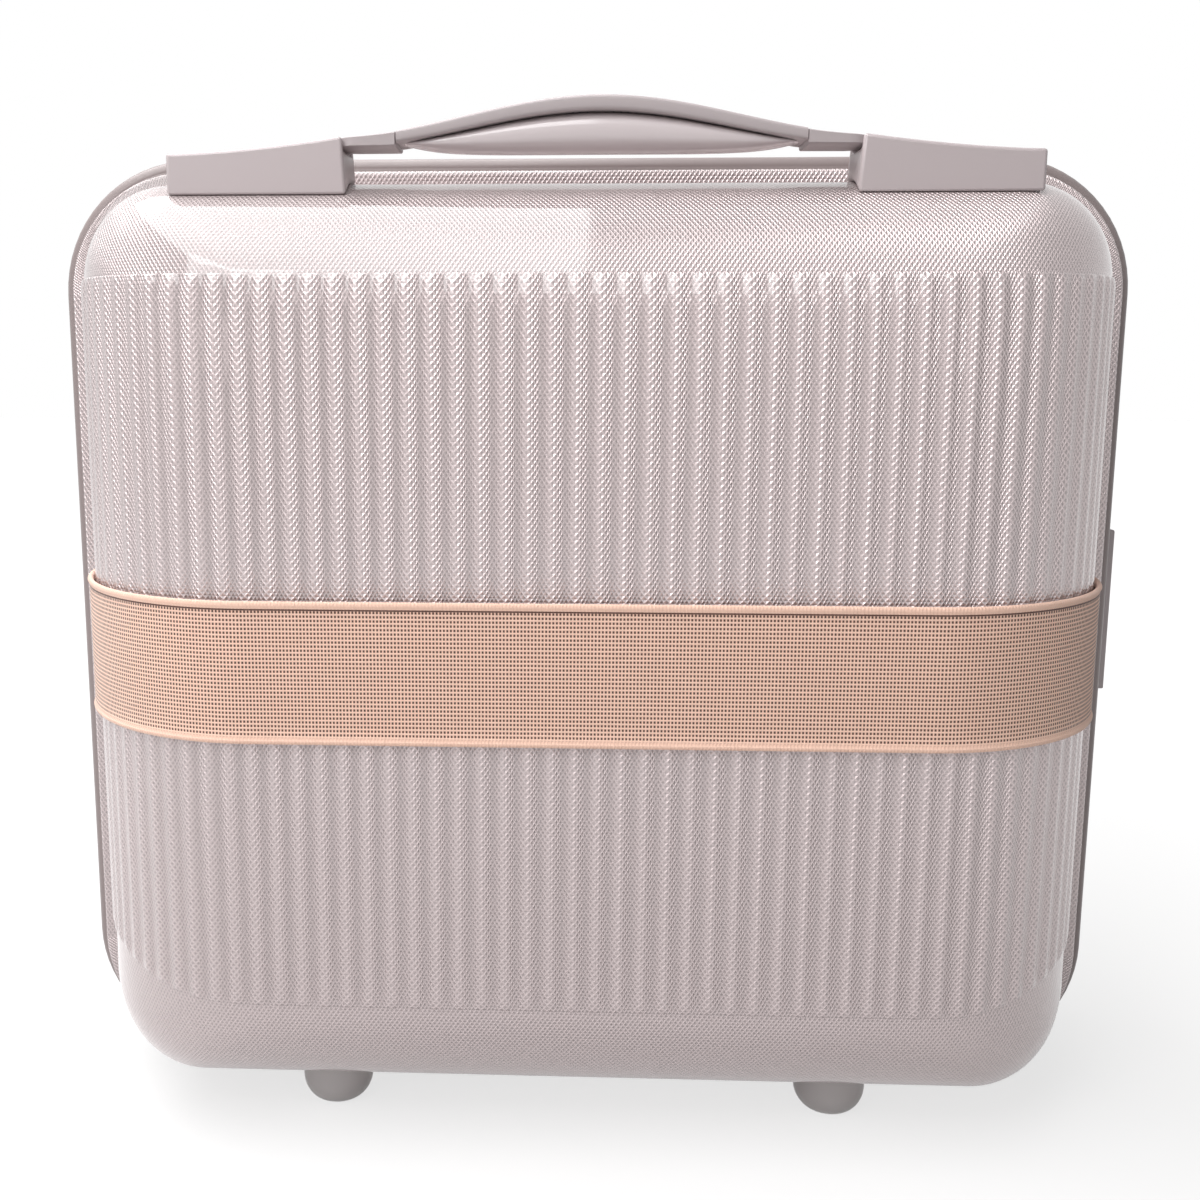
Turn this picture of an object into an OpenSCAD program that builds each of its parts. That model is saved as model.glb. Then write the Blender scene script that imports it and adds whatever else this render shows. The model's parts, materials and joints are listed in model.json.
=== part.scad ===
// Hard-shell vanity case: two moulded halves joined by a zip round three sides
// and a fabric hinge along the bottom, with a pull-up carry strap, a luggage
// band and a side lock. Millimetres, +Z up, the handled half faces -Y.

/* [Case] */
// Width over the rim beads
case_w = 320; // [306:1:330]
// Height over the rim beads, without feet and handle
case_h = 285.6; // [276:0.2:296]
// Depth of each half, from the seam to its flat face
half_depth = 72; // [70:1:78]
// Height of the lowest bead above the ground
ground_gap = 5.2; // [4:0.1:8]
// Wall of the moulded halves
wall = 2.2; // [1.8:0.1:2.6]
// Clearance between pieces that only lie against each other
seat_gap = 0.15; // [0.1:0.05:0.3]

/* [Moulded halves] */
// Plan radius from the flat face round to the sides
side_round = 57; // [54:1:60]
// Radius from the flat face over to the top and bottom
end_round = 36; // [32:1:40]
// How far the sides lie inside the rim beads
side_step = 11.8; // [11:0.2:12.6]
// How far the top and bottom lie inside the rim beads
end_step = 10.3; // [9.7:0.1:11.3]
// Draft of the top and bottom walls in degrees
draft = 2; // [1:0.5:3]
// Corner radius in the front view at the flat face
face_corner = 12; // [8:1:16]
// Corner radius in the front view at the seam
seam_corner = 28; // [24:1:30]

/* [Ridges] */
// Distance from ridge to ridge
ridge_pitch = 6.4; // [6:0.1:7]
// Least distance from the last ridge to the lip
ridge_margin = 4; // [2:0.5:8]
// How far a ridge stands out
ridge_rise = 1.1; // [0.6:0.1:1.4]
// Ridge ends above the case's middle
ridge_up = 106.7; // [98:0.1:108]
// Ridge ends below the case's middle
ridge_down = 98; // [92:0.5:104]
// Length over which a ridge runs out
ridge_fade = 5; // [3:1:8]

/* [Rim] */
// Corner radius of the rim beads
rim_corner = 40; // [36:1:42]
// Thickness of the rim bead
bead_d = 5.4; // [5:0.1:6]
// Bead centre from the seam
bead_off = 7.3; // [7.2:0.1:8]
// Lip of the shell, its front face from the seam
lip_front = 14.5; // [13.5:0.5:16]
// How far the lip's turned edge lies inside the rim beads
lip_back = 4.4; // [4:0.1:5]

/* [Zip] */
// Thickness of the zip tape
tape_t = 0.8; // [0.6:0.1:1]
// Edge of the tape from the seam
tape_edge = 1.2; // [1:0.1:1.4]
// Thickness of the zip chain
chain_t = 2.5; // [2.2:0.1:2.8]
// Width of one row of the chain
chain_row = 2.1; // [1.8:0.1:2.4]
// Inner edge of each row from the seam
chain_gap = 0.5; // [0.5:0.1:0.6]
// Clearance between slider and chain
slider_gap = 0.3; // [0.25:0.05:0.4]
// Thickness of the slider's plates
slider_plate = 1.4; // [1.2:0.1:1.6]
// Width of the slider
slider_w = 8.2; // [7.4:0.1:8.2]
// Length of the slider
slider_l = 14; // [12:1:16]
// Length of the puller below its pin
puller_l = 18; // [14:1:19]
// Radius of the puller's pin
pin_r = 0.75; // [0.6:0.05:0.8]
// Radial clearance of pins and shafts in their bores
run_gap = 0.05; // [0.03:0.01:0.08]

/* [Carry strap] */
// Middle of the strap from the case's middle, towards the lock
handle_shift = 2.5; // [0:0.5:4]
// Centre of the strap behind the flat face
handle_back = 28.6; // [27:0.2:30]
// Outer end of each cap inside the rim beads' side
cap_side = 42.4; // [41:0.2:46]
// Length of each cap
cap_l = 48; // [44:1:52]
// How much further in each cap's foot reaches than its top
cap_slant = 1.4; // [0.5:0.1:2]
// Width of each cap, front to back
cap_w = 20.5; // [20:0.5:23]
// Cap height at its outer end
cap_low = 6.7; // [5.5:0.1:7.5]
// Cap height at its inner end
cap_high = 10.9; // [10:0.1:11.6]
// Width of the strap
strap_w = 18; // [16:1:18]
// Thickness of the strap
strap_t = 3.9; // [3.4:0.1:4.2]
// Rise of the strap's arch
strap_rise = 10.5; // [8:0.1:12]
// Length of each of its ends, from the arch that lifts to the cap
strap_run = 14.6; // [12:0.2:16]
// Thickness of its ends where they enter the caps
tongue_t = 2.8; // [2.4:0.1:3]
// Distance from the grip's tip to the arch's end
grip_end = 1; // [1:0.5:6]
// Lower line of the grip above the case's top
grip_under = 7; // [6.6:0.1:7.4]

/* [Feet] */
// Feet from the middle
foot_x = 77.5; // [70:0.5:90]
// Feet from the seam
foot_y = 30; // [28:0.2:31]
// Foot radius
foot_r = 11; // [10:0.2:11.2]
// Radius of the flat under each foot
foot_flat = 4.5; // [3:0.5:6]
// Height of the foot's domed part
foot_dome = 8; // [6:0.5:9]

/* [Luggage band] */
// Height of the band
band_h = 40; // [36:1:46]
// Thickness of the band
band_t = 1.2; // [1:0.1:1.6]
// Height of its rolled edges
band_edge = 1.8; // [1.4:0.1:2.4]
// Extra thickness of its rolled edges
band_roll = 0.5; // [0.3:0.1:0.7]

/* [Side lock] */
// Height of the lock's middle above the case's middle
lock_up = 4; // [0:1:8]
// Length of the lock
lock_l = 52; // [50:1:56]
// Near edge of the lock from the seam
lock_y = 10.4; // [10.3:0.1:11]
// Width of the lock
lock_w = 20; // [19:0.5:20]
// How far the lock stands beyond the rim beads
lock_proud = 8.3; // [8:0.1:9]
// Radius of the dials
dial_r = 6.5; // [6:0.1:6.6]
// Thickness of the dials
dial_t = 5.2; // [4.6:0.1:5.4]
// Distance from dial to dial
dial_pitch = 7.6; // [7.4:0.1:8]
// How far the dials stand out of the lock
dial_proud = 1; // [0.6:0.1:1.4]
// Radius of the dial shaft
shaft_r = 1.5; // [1.2:0.1:1.8]
// Travel of the release button
button_travel = 2; // [1.5:0.5:2.5]

/* [Inside] */
// Thickness of the lining
lining_t = 1; // [0.8:0.1:1.4]
// Width of the packing straps
pack_strap_w = 20; // [16:1:26]
// Thickness of the packing straps
pack_strap_t = 1.2; // [1:0.1:1.6]
// Depth of the packing straps behind the lip
strap_back = 7.5; // [7:0.5:12]
// Height of the mesh pocket
pocket_h = 120; // [90:5:150]
// Width of the mesh pocket
pocket_w = 150; // [120:5:160]
// Depth of the mesh pocket
pocket_d = 8; // [6:1:12]

/* [Fasteners] */
// Screw shank radius
screw_r = 1.5; // [1.3:0.1:1.6]
// Screw head radius
head_r = 3; // [2.7:0.1:3.2]
// Screw head thickness
head_t = 1.8; // [1.4:0.1:2]
// Backing plate thickness
plate_t = 1.5; // [1.2:0.1:2]

/* [Hidden] */

taupe = "#c6bbbb";
trim = "#b3a7a7";
rubber = "#968a88";
peach = "#ebbeaa";
cloth = "#6f686a";
metal = "#b9b9bd";
grey = "#8f8d90";

// Half sizes of the seam outline over the beads, and of the moulded wall inside it
rim_w = case_w / 2;
rim_h = case_h / 2;
mid_z = ground_gap + rim_h;
main_w = rim_w - side_step;
main_h = rim_h - end_step;
flat_w = main_w - side_round;
flat_h = main_h - end_round;
shell_l = half_depth - lip_front;
top_z = mid_z + main_h;

// Insets from the bead's crown: lip, tape, chain and slider plates
lip_in = lip_back;
seat_in = lip_in + wall;
tape_in = seat_in + seat_gap;
tape_mid = tape_in + tape_t / 2;
chain_out = tape_mid - chain_t / 2;
chain_in = tape_mid + chain_t / 2;
plate_out = chain_out - slider_gap - slider_plate;
plate_in = chain_in + slider_gap;
step_in = max(side_step, end_step) + wall / 2;
small = 0.01;

// Lock: its own x places, with the dials' centre under the outer face
lock_top = rim_w + lock_proud;
lock_mid = mid_z + lock_up;
lock_cy = lock_y + lock_w / 2 + 1.5;
dial_x = lock_top + dial_proud - dial_r;
lock_seat = rim_w - lip_in + 0.3;
dial_gap = 0.3;

// The origin is the middle of the whole box: the lock stands out on one side,
// the band on the other half's face
band_out = ridge_rise + 2 * seat_gap + band_t + band_roll;
shift_x = -(lock_top + dial_proud - rim_w) / 2;
shift_y = (band_out - ridge_rise) / 2;
module placed() { translate([shift_x, shift_y, 0]) children(); }
module on_handle() { placed() translate([handle_shift, 0, 0]) children(); }

// The seam outline stands in the XZ plane, and local z is the distance from
// the seam. Each half is drawn towards -Y, and the lid is its mirror image.
module upright() { rotate([90, 0, 0]) children(); }
module other_half() { mirror([0, 1, 0]) children(); }

// Half width and half height of the moulding at depth t behind the flat face,
// measured off inside its outer surface
function side_x(t, off) = flat_w + sqrt(max(0, pow(side_round - off, 2)
    - pow(side_round - min(t, side_round), 2)));
function end_z(t, off) = t < end_round
    ? flat_h + sqrt(max(0, pow(end_round - off, 2) - pow(end_round - t, 2)))
    : main_h - off + (t - end_round) * tan(draft);
function corner_at(t, off) = max(2,
    face_corner + (seam_corner - face_corner) * min(1, t / end_round) - off);

// Depths of the loft's sections: even steps of the end radius, then the wall
round_steps = 8;
lining_end = shell_l - 2 * wall;
function depths(off) = concat(
    [for (i = [0:round_steps])
        off + (end_round - off) * (1 - cos(90 * i / round_steps))],
    [(end_round + shell_l) / 2, lining_end, shell_l]);

// Outline of the moulding at depth t: four round corners of n steps each
function ring(t, off, n) = let (r = corner_at(t, off), x = side_x(t, off) - r, z = end_z(t, off) - r)
    [for (q = [0:3], i = [0:n])
        let (a = 90 * (q + i / n))
            [(q % 3 == 0 ? x : -x) + r * cos(a), mid_z + (q < 2 ? z : -z) + r * sin(a), half_depth - t]];

// Loft from the flat face back to the seam lip, hulled from outline to outline.
// The last outline lies extra further on, and the linings leave out the one at the lip.
module loft(off, extra = 0, n = 8, left_out = 0) {
    d = depths(off);
    m = 4 * (n + 1);
    last = len(d) - 2 - left_out;
    for (i = [0:last])
        hull() polyhedron(
            points = concat(ring(d[i], off, n), ring(d[i + 1] + (i == last ? extra : 0), off, n)),
            faces = [[for (k = [m - 1:-1:0]) k], [for (k = [0:m - 1]) m + k]]);
}

// Ridges: a band that follows the plan outline, with four points to a ridge. As many
// fit as leave the margin to the lip on both sides, with a groove in the middle.
plan_run = flat_w + side_round * acos((side_round - shell_l) / side_round) * PI / 180;
ridge_count = 2 * floor((plan_run - ridge_margin) / ridge_pitch);
ridge_points = 4;
function ridge_s(k) = (k / ridge_points - ridge_count / 2) * ridge_pitch;
function ridge_h(k) = let (u = (k % ridge_points) / ridge_points)
    ridge_rise * (1 - pow(2 * u - 1, 2));
function plan_at(s, o) = abs(s) <= flat_w ? [s, half_depth + o]
    : let (a = (abs(s) - flat_w) / side_round * 180 / PI)
        [sign(s) * (flat_w + (side_round + o) * sin(a)),
         half_depth - side_round + (side_round + o) * cos(a)];
module ridges() {
    n = ridge_count * ridge_points;
    rows = [[-ridge_down, 0], [ridge_fade - ridge_down, 1], [ridge_up - ridge_fade, 1],
            [ridge_up, 0]];
    front = [for (row = rows, k = [0:n])
        let (p = plan_at(ridge_s(k), row[1] * (ridge_h(k) + 0.95) - 0.9))
            [p[0], mid_z + row[0], p[1]]];
    back_n = 12;
    back = [for (z = [-ridge_down, ridge_up], k = [0:back_n])
        let (p = plan_at(ridge_s(k * n / back_n), -wall + 0.3)) [p[0], mid_z + z, p[1]]];
    w = n + 1;
    b = 4 * w;
    c = b + back_n + 1;
    polyhedron(points = concat(front, back), convexity = 10, faces = concat(
        [for (j = [0:2], k = [0:n - 1]) [j * w + k, (j + 1) * w + k, (j + 1) * w + k + 1]],
        [for (j = [0:2], k = [0:n - 1]) [j * w + k, (j + 1) * w + k + 1, j * w + k + 1]],
        [for (k = [0:back_n - 1]) [b + k, b + k + 1, c + k + 1, c + k]],
        [concat([for (k = [0:n]) k], [for (k = [back_n:-1:0]) b + k])],
        [concat([for (k = [n:-1:0]) 3 * w + k], [for (k = [0:back_n]) c + k])],
        [[0, b, c, 3 * w, 2 * w, w], [n, w + n, 2 * w + n, 3 * w + n, c + back_n, b + back_n]]));
}

// Carries a profile round the seam outline. The profile's x is the radius from
// the corner's centre, so inset i lies at rim_corner - i, and its y is the
// distance from the seam. Sides and corners count from the right, anticlockwise.
module rim_loop(sides = [0:3], corners = [0:3], fn = 64) {
    run_w = rim_w - rim_corner;
    run_h = rim_h - rim_corner;
    translate([0, mid_z, 0]) {
        for (k = sides)
            rotate(90 * k) translate([k % 2 == 0 ? run_w : run_h, k % 2 == 0 ? run_h : run_w, 0])
                rotate([90, 0, 0]) linear_extrude(2 * (k % 2 == 0 ? run_h : run_w)) children();
        for (k = corners)
            rotate(90 * k) translate([k % 2 == 0 ? run_w : run_h, k % 2 == 0 ? run_h : run_w, 0])
                rotate_extrude(angle = 90, $fn = fn) children();
    }
}
module inset_box(i0, i1, h0, h1) {
    translate([rim_corner - i1, h0]) square([i1 - i0, h1 - h0]);
}

module moulding() {
    difference() {
        union() {
            loft(0);
            ridges();
            rim_loop(fn = 48) inset_box(lip_in, step_in, lip_front, lip_front + wall);
        }
        loft(wall, 1);
    }
    rim_loop(fn = 48) inset_box(lip_in, seat_in, bead_off + bead_d / 2 + seat_gap, lip_front + wall);
}

// The handle keeps its distance from the sides, and the strap spans what is left
cap_in = rim_w - cap_side - cap_l;
strap_half = cap_in - strap_run;
grip_half = strap_half - grip_end;

// Where the screws go: two through each handle cap, from the strap's middle, and
// one through each foot
handle_y = -half_depth + handle_back;
screws_at = [0.3 * cap_l, 0.8 * cap_l];
cap_screws = [for (s = [-1, 1], e = screws_at) [s * (cap_in + e), handle_y]];
foot_places = [for (s = [-1, 1]) [s * foot_x, -foot_y]];
hole_r = screw_r + 0.3;
screw_bite = 2.2;
foot_top = mid_z - end_z(half_depth - foot_y, 0);
deck = wall + seat_gap + lining_t;
floor_in = mid_z - end_z(half_depth - foot_y, deck);

// Two M3 screws hold the lock, one at each end
lock_screw_z = [for (s = [-1, 1]) lock_mid + s * (lock_l / 2 - 4)];
lock_bore_x = flat_w + side_round * 0.5;

module screw_holes() {
    for (p = cap_screws)
        translate([handle_shift + p[0], p[1], top_z - 12]) cylinder(r = hole_r, h = 24, $fn = 24);
}
module foot_holes() {
    for (p = foot_places) translate([p[0], p[1], foot_top - 4]) cylinder(r = hole_r, h = 12, $fn = 24);
}
module lock_holes() {
    for (z = lock_screw_z)
        translate([lock_bore_x, -lock_cy, z]) rotate([0, 90, 0]) cylinder(r = hole_r, h = 40, $fn = 24);
}

module body_shell() {
    color(taupe) placed() difference() {
        upright() moulding();
        screw_holes();
        foot_holes();
    }
}
module lid_shell() {
    color(taupe) placed() other_half() difference() {
        upright() moulding();
        foot_holes();
        lock_holes();
    }
}

module bead_loop() {
    upright() rim_loop() {
        translate([rim_corner - bead_d / 2, bead_off]) circle(d = bead_d, $fn = 48);
        inset_box(bead_d / 2, seat_in, bead_off - bead_d / 2 + 0.6, bead_off + bead_d / 2);
    }
}
module body_rim_bead() { color(rubber) placed() bead_loop(); }
module lid_rim_bead() { color(rubber) placed() other_half() bead_loop(); }

module tape_loop() {
    upright() rim_loop() inset_box(tape_in, tape_in + tape_t, tape_edge, lip_front - seat_gap);
}
module chain_loop() {
    upright() rim_loop([0:2], [0:1]) {
        inset_box(chain_out, tape_in, chain_gap, chain_gap + chain_row);
        inset_box(tape_in, tape_in + tape_t, chain_gap, tape_edge);
        inset_box(tape_in + tape_t, chain_in, chain_gap, chain_gap + chain_row);
    }
}
module body_zip_tape() { color(cloth) placed() tape_loop(); }
module lid_zip_tape() { color(cloth) placed() other_half() tape_loop(); }
module body_zip_chain() { color(grey) placed() chain_loop(); }
module lid_zip_chain() { color(grey) placed() other_half() chain_loop(); }

// Fabric hinge: a strip from bead to bead along the bottom, drawn as two halves
// that meet at the fold. The lid turns about the fold's lower edge.
hinge_in = 1.1;
hinge_l = 2 * (rim_w - rim_corner);
hinge_root = bead_off - seat_gap / 2
    - sqrt(pow(bead_d / 2, 2) - pow(bead_d / 2 - hinge_in - tape_t / 2, 2));
module hinge_strip() {
    translate([-hinge_l / 2, -hinge_root, ground_gap + hinge_in - tape_t / 2])
        cube([hinge_l, hinge_root - seat_gap, tape_t]);
}
module hinge_strip_body() { color(cloth) placed() hinge_strip(); }
module hinge_strip_lid() { color(cloth) placed() other_half() hinge_strip(); }

module lining() {
    difference() {
        loft(wall + seat_gap, 0, 5, 1);
        loft(wall + seat_gap + lining_t, 1, 5, 1);
    }
}
module body_lining() {
    color(cloth) placed() difference() {
        upright() lining();
        screw_holes();
        foot_holes();
    }
}
module lid_lining() {
    color(cloth) placed() other_half() difference() {
        upright() lining();
        foot_holes();
        lock_holes();
    }
}

// Packing straps: two elastic straps, one crossing behind the other at the mouth of the body
strap_depth = lip_front + strap_back;
module packing_straps() {
    t = half_depth - strap_depth;
    r = corner_at(t, deck);
    cx = side_x(t, deck) - r;
    cz = end_z(t, deck) - r;
    reach = sqrt(cx * cx + cz * cz) + sqrt(r * r - pow(pack_strap_w / 2, 2)) - 3 * seat_gap;
    color(peach) placed() for (k = [0, 1])
        translate([0, k * (pack_strap_t + seat_gap) - strap_depth, mid_z])
            rotate([0, (1 - 2 * k) * atan(cz / cx), 0])
                translate([-reach, -pack_strap_t / 2, -pack_strap_w / 2])
                    cube([2 * reach, pack_strap_t, pack_strap_w]);
}

// Mesh pocket: a shallow tray on the lid's flat inner face, open at its top
module lid_pocket() {
    y0 = half_depth - deck - seat_gap;
    z0 = mid_z - pocket_h / 2;
    color(cloth) placed() difference() {
        translate([-pocket_w / 2, y0 - pocket_d, z0]) cube([pocket_w, pocket_d, pocket_h]);
        translate([-pocket_w / 2 + lining_t, y0 - pocket_d + lining_t, z0 + lining_t])
            cube([pocket_w - 2 * lining_t, pocket_d, pocket_h]);
    }
}

// Plan outline grown by o, cut off at the seam's lip
module plan_outline(o) {
    intersection() {
        union() {
            translate([-flat_w, -half_depth - o]) square([2 * flat_w, half_depth + o]);
            for (s = [-1, 1])
                translate([s * flat_w, side_round - half_depth]) circle(r = side_round + o, $fn = 180);
        }
        translate([-rim_w, -half_depth - 2 * band_out])
            square([2 * rim_w, half_depth + 2 * band_out - lip_front - wall - seat_gap]);
    }
}
module luggage_band() {
    inner = ridge_rise + 2 * seat_gap;
    color(peach) placed() translate([0, 0, mid_z - band_h / 2]) {
        linear_extrude(band_h) difference() {
            plan_outline(inner + band_t);
            plan_outline(inner);
        }
        for (z = [0, band_h - band_edge])
            translate([0, 0, z]) linear_extrude(band_edge) difference() {
                plan_outline(inner + band_t + band_roll);
                plan_outline(inner + band_t / 2);
            }
    }
}

// Domed foot: a turned profile with a quarter ellipse below
module feet() {
    for (p = foot_places)
        translate([p[0], p[1], 0]) difference() {
            rotate_extrude($fn = 64) polygon(concat(
                [[0, 0]],
                [for (a = [0:10:90])
                    [foot_flat + (foot_r - foot_flat) * sin(a), foot_dome * (1 - cos(a))]],
                [[foot_r + 0.2, foot_top - 2], [foot_r + 0.2, foot_top + 2], [0, foot_top + 2]]));
            // the drafted wall above
            translate([-rim_w, -p[1] - half_depth + end_round, mid_z - main_h - seat_gap])
                rotate([-draft, 0, 0]) translate([0, -half_depth, 0]) cube([2 * rim_w, 2 * half_depth, 20]);
            translate([0, 0, foot_top - 6]) cylinder(r = screw_r + run_gap, h = 8, $fn = 32);
        }
}
module foot_screws() {
    for (p = foot_places) translate([p[0], p[1], 0]) {
        translate([0, 0, foot_top - 5.5])
            cylinder(r = screw_r, h = floor_in - foot_top + 6.5, $fn = 32);
        translate([0, 0, floor_in + 0.6]) cylinder(r = head_r, h = head_t, $fn = 32);
    }
}
module body_feet() { color(grey) placed() feet(); }
module lid_feet() { color(grey) placed() other_half() feet(); }
module body_foot_screws() { color(metal) placed() foot_screws(); }
module lid_foot_screws() { color(metal) placed() other_half() foot_screws(); }

// Carry strap. Its top line is one cosine bell, and the caps end where it runs flat.
bell_half = cap_in + 5;
function strap_top(x) = top_z + cap_high
    + strap_rise * (1 + cos(180 * min(1, abs(x) / bell_half))) / 2;
strap_end_t = strap_t * 0.8;
function strap_under(x) = strap_top(x) - strap_t
    + (strap_t - strap_end_t) * pow(min(1, abs(x) / strap_half), 2);

module across(w) {
    translate([0, handle_y + w / 2, 0]) rotate([90, 0, 0]) linear_extrude(w) children();
}
arch_steps = 24;
module handle_strap() {
    xs = [for (i = [-arch_steps:arch_steps]) i * strap_half / arch_steps];
    color(trim) on_handle() difference() {
        across(strap_w) polygon(concat(
            [for (x = xs) [x, strap_top(x)]],
            [for (i = [len(xs) - 1:-1:0]) [xs[i], strap_under(xs[i])]]));
        across(core_w + 2 * seat_gap) core_outline(seat_gap);
    }
}
// Spring steel strip let into the strap's underside, which the grip covers
core_w = 10;
core_t = 0.8;
core_half = grip_half - 2;
module core_outline(grow) {
    xs = [for (i = [-arch_steps:arch_steps]) i * (core_half + grow) / arch_steps];
    polygon(concat(
        [for (x = xs) [x, strap_under(x) + core_t + grow]],
        [for (i = [len(xs) - 1:-1:0]) [xs[i], strap_under(xs[i]) - grow]]));
}
module handle_core() { color(metal) on_handle() across(core_w) core_outline(0); }

module handle_grip() {
    xs = [for (i = [-arch_steps:arch_steps]) i * grip_half / arch_steps];
    low = top_z + grip_under;
    function belly(x) = low + 1.9 * pow(abs(x) / grip_half, 5);
    color(rubber) on_handle() intersection() {
        across(strap_w - 2) polygon(concat(
            [for (x = xs) [x, strap_under(x)]],
            [for (i = [len(xs) - 1:-1:0]) [xs[i], belly(xs[i])]]));
        translate([0, handle_y, low + strap_w / 2 - 0.4])
            rotate([0, 90, 0]) cylinder(r = strap_w / 2, h = 3 * cap_in, center = true, $fn = 96);
    }
}

// Tongues: the strap's own ends, bent down into the caps, with a stop at the end
tongue_end = cap_in + 32;
function cap_top(x) = top_z + cap_low
    + (cap_high - cap_low) * pow(1 - (min(abs(x), cap_in + cap_l) - cap_in) / cap_l, 1.6);
mouth = cap_in + 12;
cap_roof = 1.5;
tongue_low = strap_top(cap_in) - tongue_t;
module handle_tongues() {
    dip = cap_top(mouth) - cap_roof - 0.6 + seat_gap;
    low = cap_top(tongue_end) - cap_roof - 0.6 + seat_gap;
    color(trim) on_handle() for (s = [0, 1]) mirror([s, 0, 0]) {
        across(strap_w - 3) polygon([
            [strap_half + 0.3, strap_top(strap_half + 0.3)],
            [strap_half + 5, strap_top(strap_half + 5)],
            [cap_in - 4, strap_top(cap_in - 4)],
            [cap_in + 2, strap_top(cap_in + 2) - 0.2],
            [mouth, dip], [tongue_end, low],
            [tongue_end, low - strap_end_t], [mouth, dip - strap_end_t],
            [cap_in + 2, tongue_low], [strap_half + 0.3, tongue_low]]);
    }
}

// Caps: a block with a concave rising top, hollowed for the tongue, which
// leaves through a mouth that is open above
module handle_cap() {
    xs = [for (i = [0:12]) cap_in + cap_l * i / 12];
    low_z = top_z - 8;
    dip = cap_top(mouth) - cap_roof;
    low = cap_top(tongue_end) - cap_roof;
    difference() {
        across(cap_w) polygon(concat([[cap_in - cap_slant, low_z]], [for (x = xs) [x, cap_top(x)]],
            [[cap_in + cap_l, low_z]]));
        // the moulding below: its rounded front edge and its drafted top
        upright() translate([0, mid_z + flat_h, half_depth - end_round])
            rotate([0, 90, 0]) cylinder(r = end_round + seat_gap, h = 3 * rim_w, center = true, $fn = 180);
        translate([-rim_w, end_round - half_depth, top_z + seat_gap - 20])
            rotate([draft, 0, 0]) cube([2 * rim_w, half_depth, 20]);
        // chamber for the tongue
        across(strap_w - 2) polygon([
            [cap_in - 3, top_z + cap_high + 2], [mouth, top_z + cap_high + 2],
            [mouth, dip], [tongue_end + 0.5, low], [tongue_end + 0.5, low - strap_end_t - 0.6],
            [mouth, dip - strap_end_t - 0.6],
            [cap_in + 2, tongue_low - 0.6], [cap_in - 3, tongue_low - 0.6]]);
        for (p = cap_screws) translate([abs(p[0]), p[1], top_z - 9])
            cylinder(r = screw_r + run_gap, h = 9 + screw_bite + 0.3, $fn = 32);
    }
}
module handle_cap_right() { color(trim) on_handle() handle_cap(); }
module handle_cap_left() { color(trim) on_handle() mirror([1, 0, 0]) handle_cap(); }

// Plates and screws inside the top wall: each plate is a wedge that follows the
// wall's end radius inside the lining, and reaches past its two screws
plate_edge = 4;
plate_w = cap_w - 2 * plate_edge;
plate_l = screws_at[1] - screws_at[0] + 2 * plate_edge;
ceiling = mid_z + end_z(handle_back - plate_w / 2, deck) - seat_gap;
module handle_backing_plates() {
    color(metal) on_handle() for (s = [-1, 1]) difference() {
        intersection() {
            translate([s * (cap_in + (screws_at[0] + screws_at[1]) / 2) - plate_l / 2,
                    handle_y - plate_w / 2, ceiling - plate_t])
                cube([plate_l, plate_w, end_round]);
            upright() translate([0, mid_z + flat_h, half_depth - end_round]) rotate([0, 90, 0])
                cylinder(r = end_round - deck - 2 * seat_gap, h = 3 * rim_w, center = true, $fn = 180);
        }
        for (p = cap_screws) translate([p[0], p[1], ceiling - 3])
            cylinder(r = screw_r + run_gap, h = 12, $fn = 32);
    }
}
module handle_screws() {
    tip = top_z + screw_bite;
    color(metal) on_handle() for (p = cap_screws) translate([p[0], p[1], ceiling - plate_t - small]) {
        cylinder(r = screw_r, h = tip - ceiling + plate_t, $fn = 32);
        translate([0, 0, -head_t]) cylinder(r = head_r, h = head_t, $fn = 32);
    }
}

// Side lock on the lid
cavity_gap = 0.3;
dials_mid = lock_mid - 4;
dials_top = dials_mid + dial_pitch + dial_t / 2 + dial_gap;
spring_l = 4.4;
button_l = lock_mid + lock_l / 2 - 6 - dials_top - 1.1 - spring_l;
button_w = 9;
button_z = dials_top + 1.1 + spring_l;
button_depth = 3.2;
spring_x = lock_top - button_depth + 1.2;
module lock_housing() {
    color(trim) placed() difference() {
        union() {
            translate([lock_seat, lock_y, lock_mid - lock_l / 2])
                cube([lock_top - lock_seat, lock_w, lock_l]);
            translate([lock_seat - 14, lip_front + wall + 0.3, lock_mid - lock_l / 2])
                cube([14, lock_y + lock_w - lip_front - wall - 0.3, lock_l]);
        }
        // saddle over the moulding's plan radius and its ridges
        translate([flat_w, half_depth - side_round, lock_mid - lock_l])
            cylinder(r = side_round + ridge_rise + seat_gap, h = 2 * lock_l, $fn = 180);
        for (k = [-1:1])
            translate([dial_x, lock_cy, dials_mid + k * dial_pitch])
                cylinder(r = dial_r + cavity_gap, h = dial_t + 2 * dial_gap, center = true, $fn = 96);
        translate([dial_x, lock_cy, dials_mid - 1.5 * dial_pitch - 2])
            cylinder(r = shaft_r + run_gap, h = 3 * dial_pitch + 4, $fn = 48);
        // recess for the button, and the spring's chamber behind the face
        translate([lock_top - button_depth, lock_cy - button_w / 2 - 0.2, button_z - button_travel - 0.2])
            cube([button_depth + 1, button_w + 0.4, button_l + button_travel + 0.4]);
        translate([lock_top - button_depth, lock_cy - 1.4, button_z - spring_l])
            cube([2.4, 2.8, spring_l]);
        // slots that take the pullers when the lock is set
        for (s = [-1, 1])
            translate([pull_x - pin_r - seat_gap, lock_y - 1, dials_mid + s * 8.5 - 3.4])
                cube([2 * (pin_r + seat_gap), 5, 6.8]);
        for (z = lock_screw_z) translate([lock_bore_x, lock_cy, z])
            rotate([0, 90, 0]) cylinder(r = screw_r + run_gap, h = lock_seat - lock_bore_x + 3, $fn = 32);
    }
}
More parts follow.
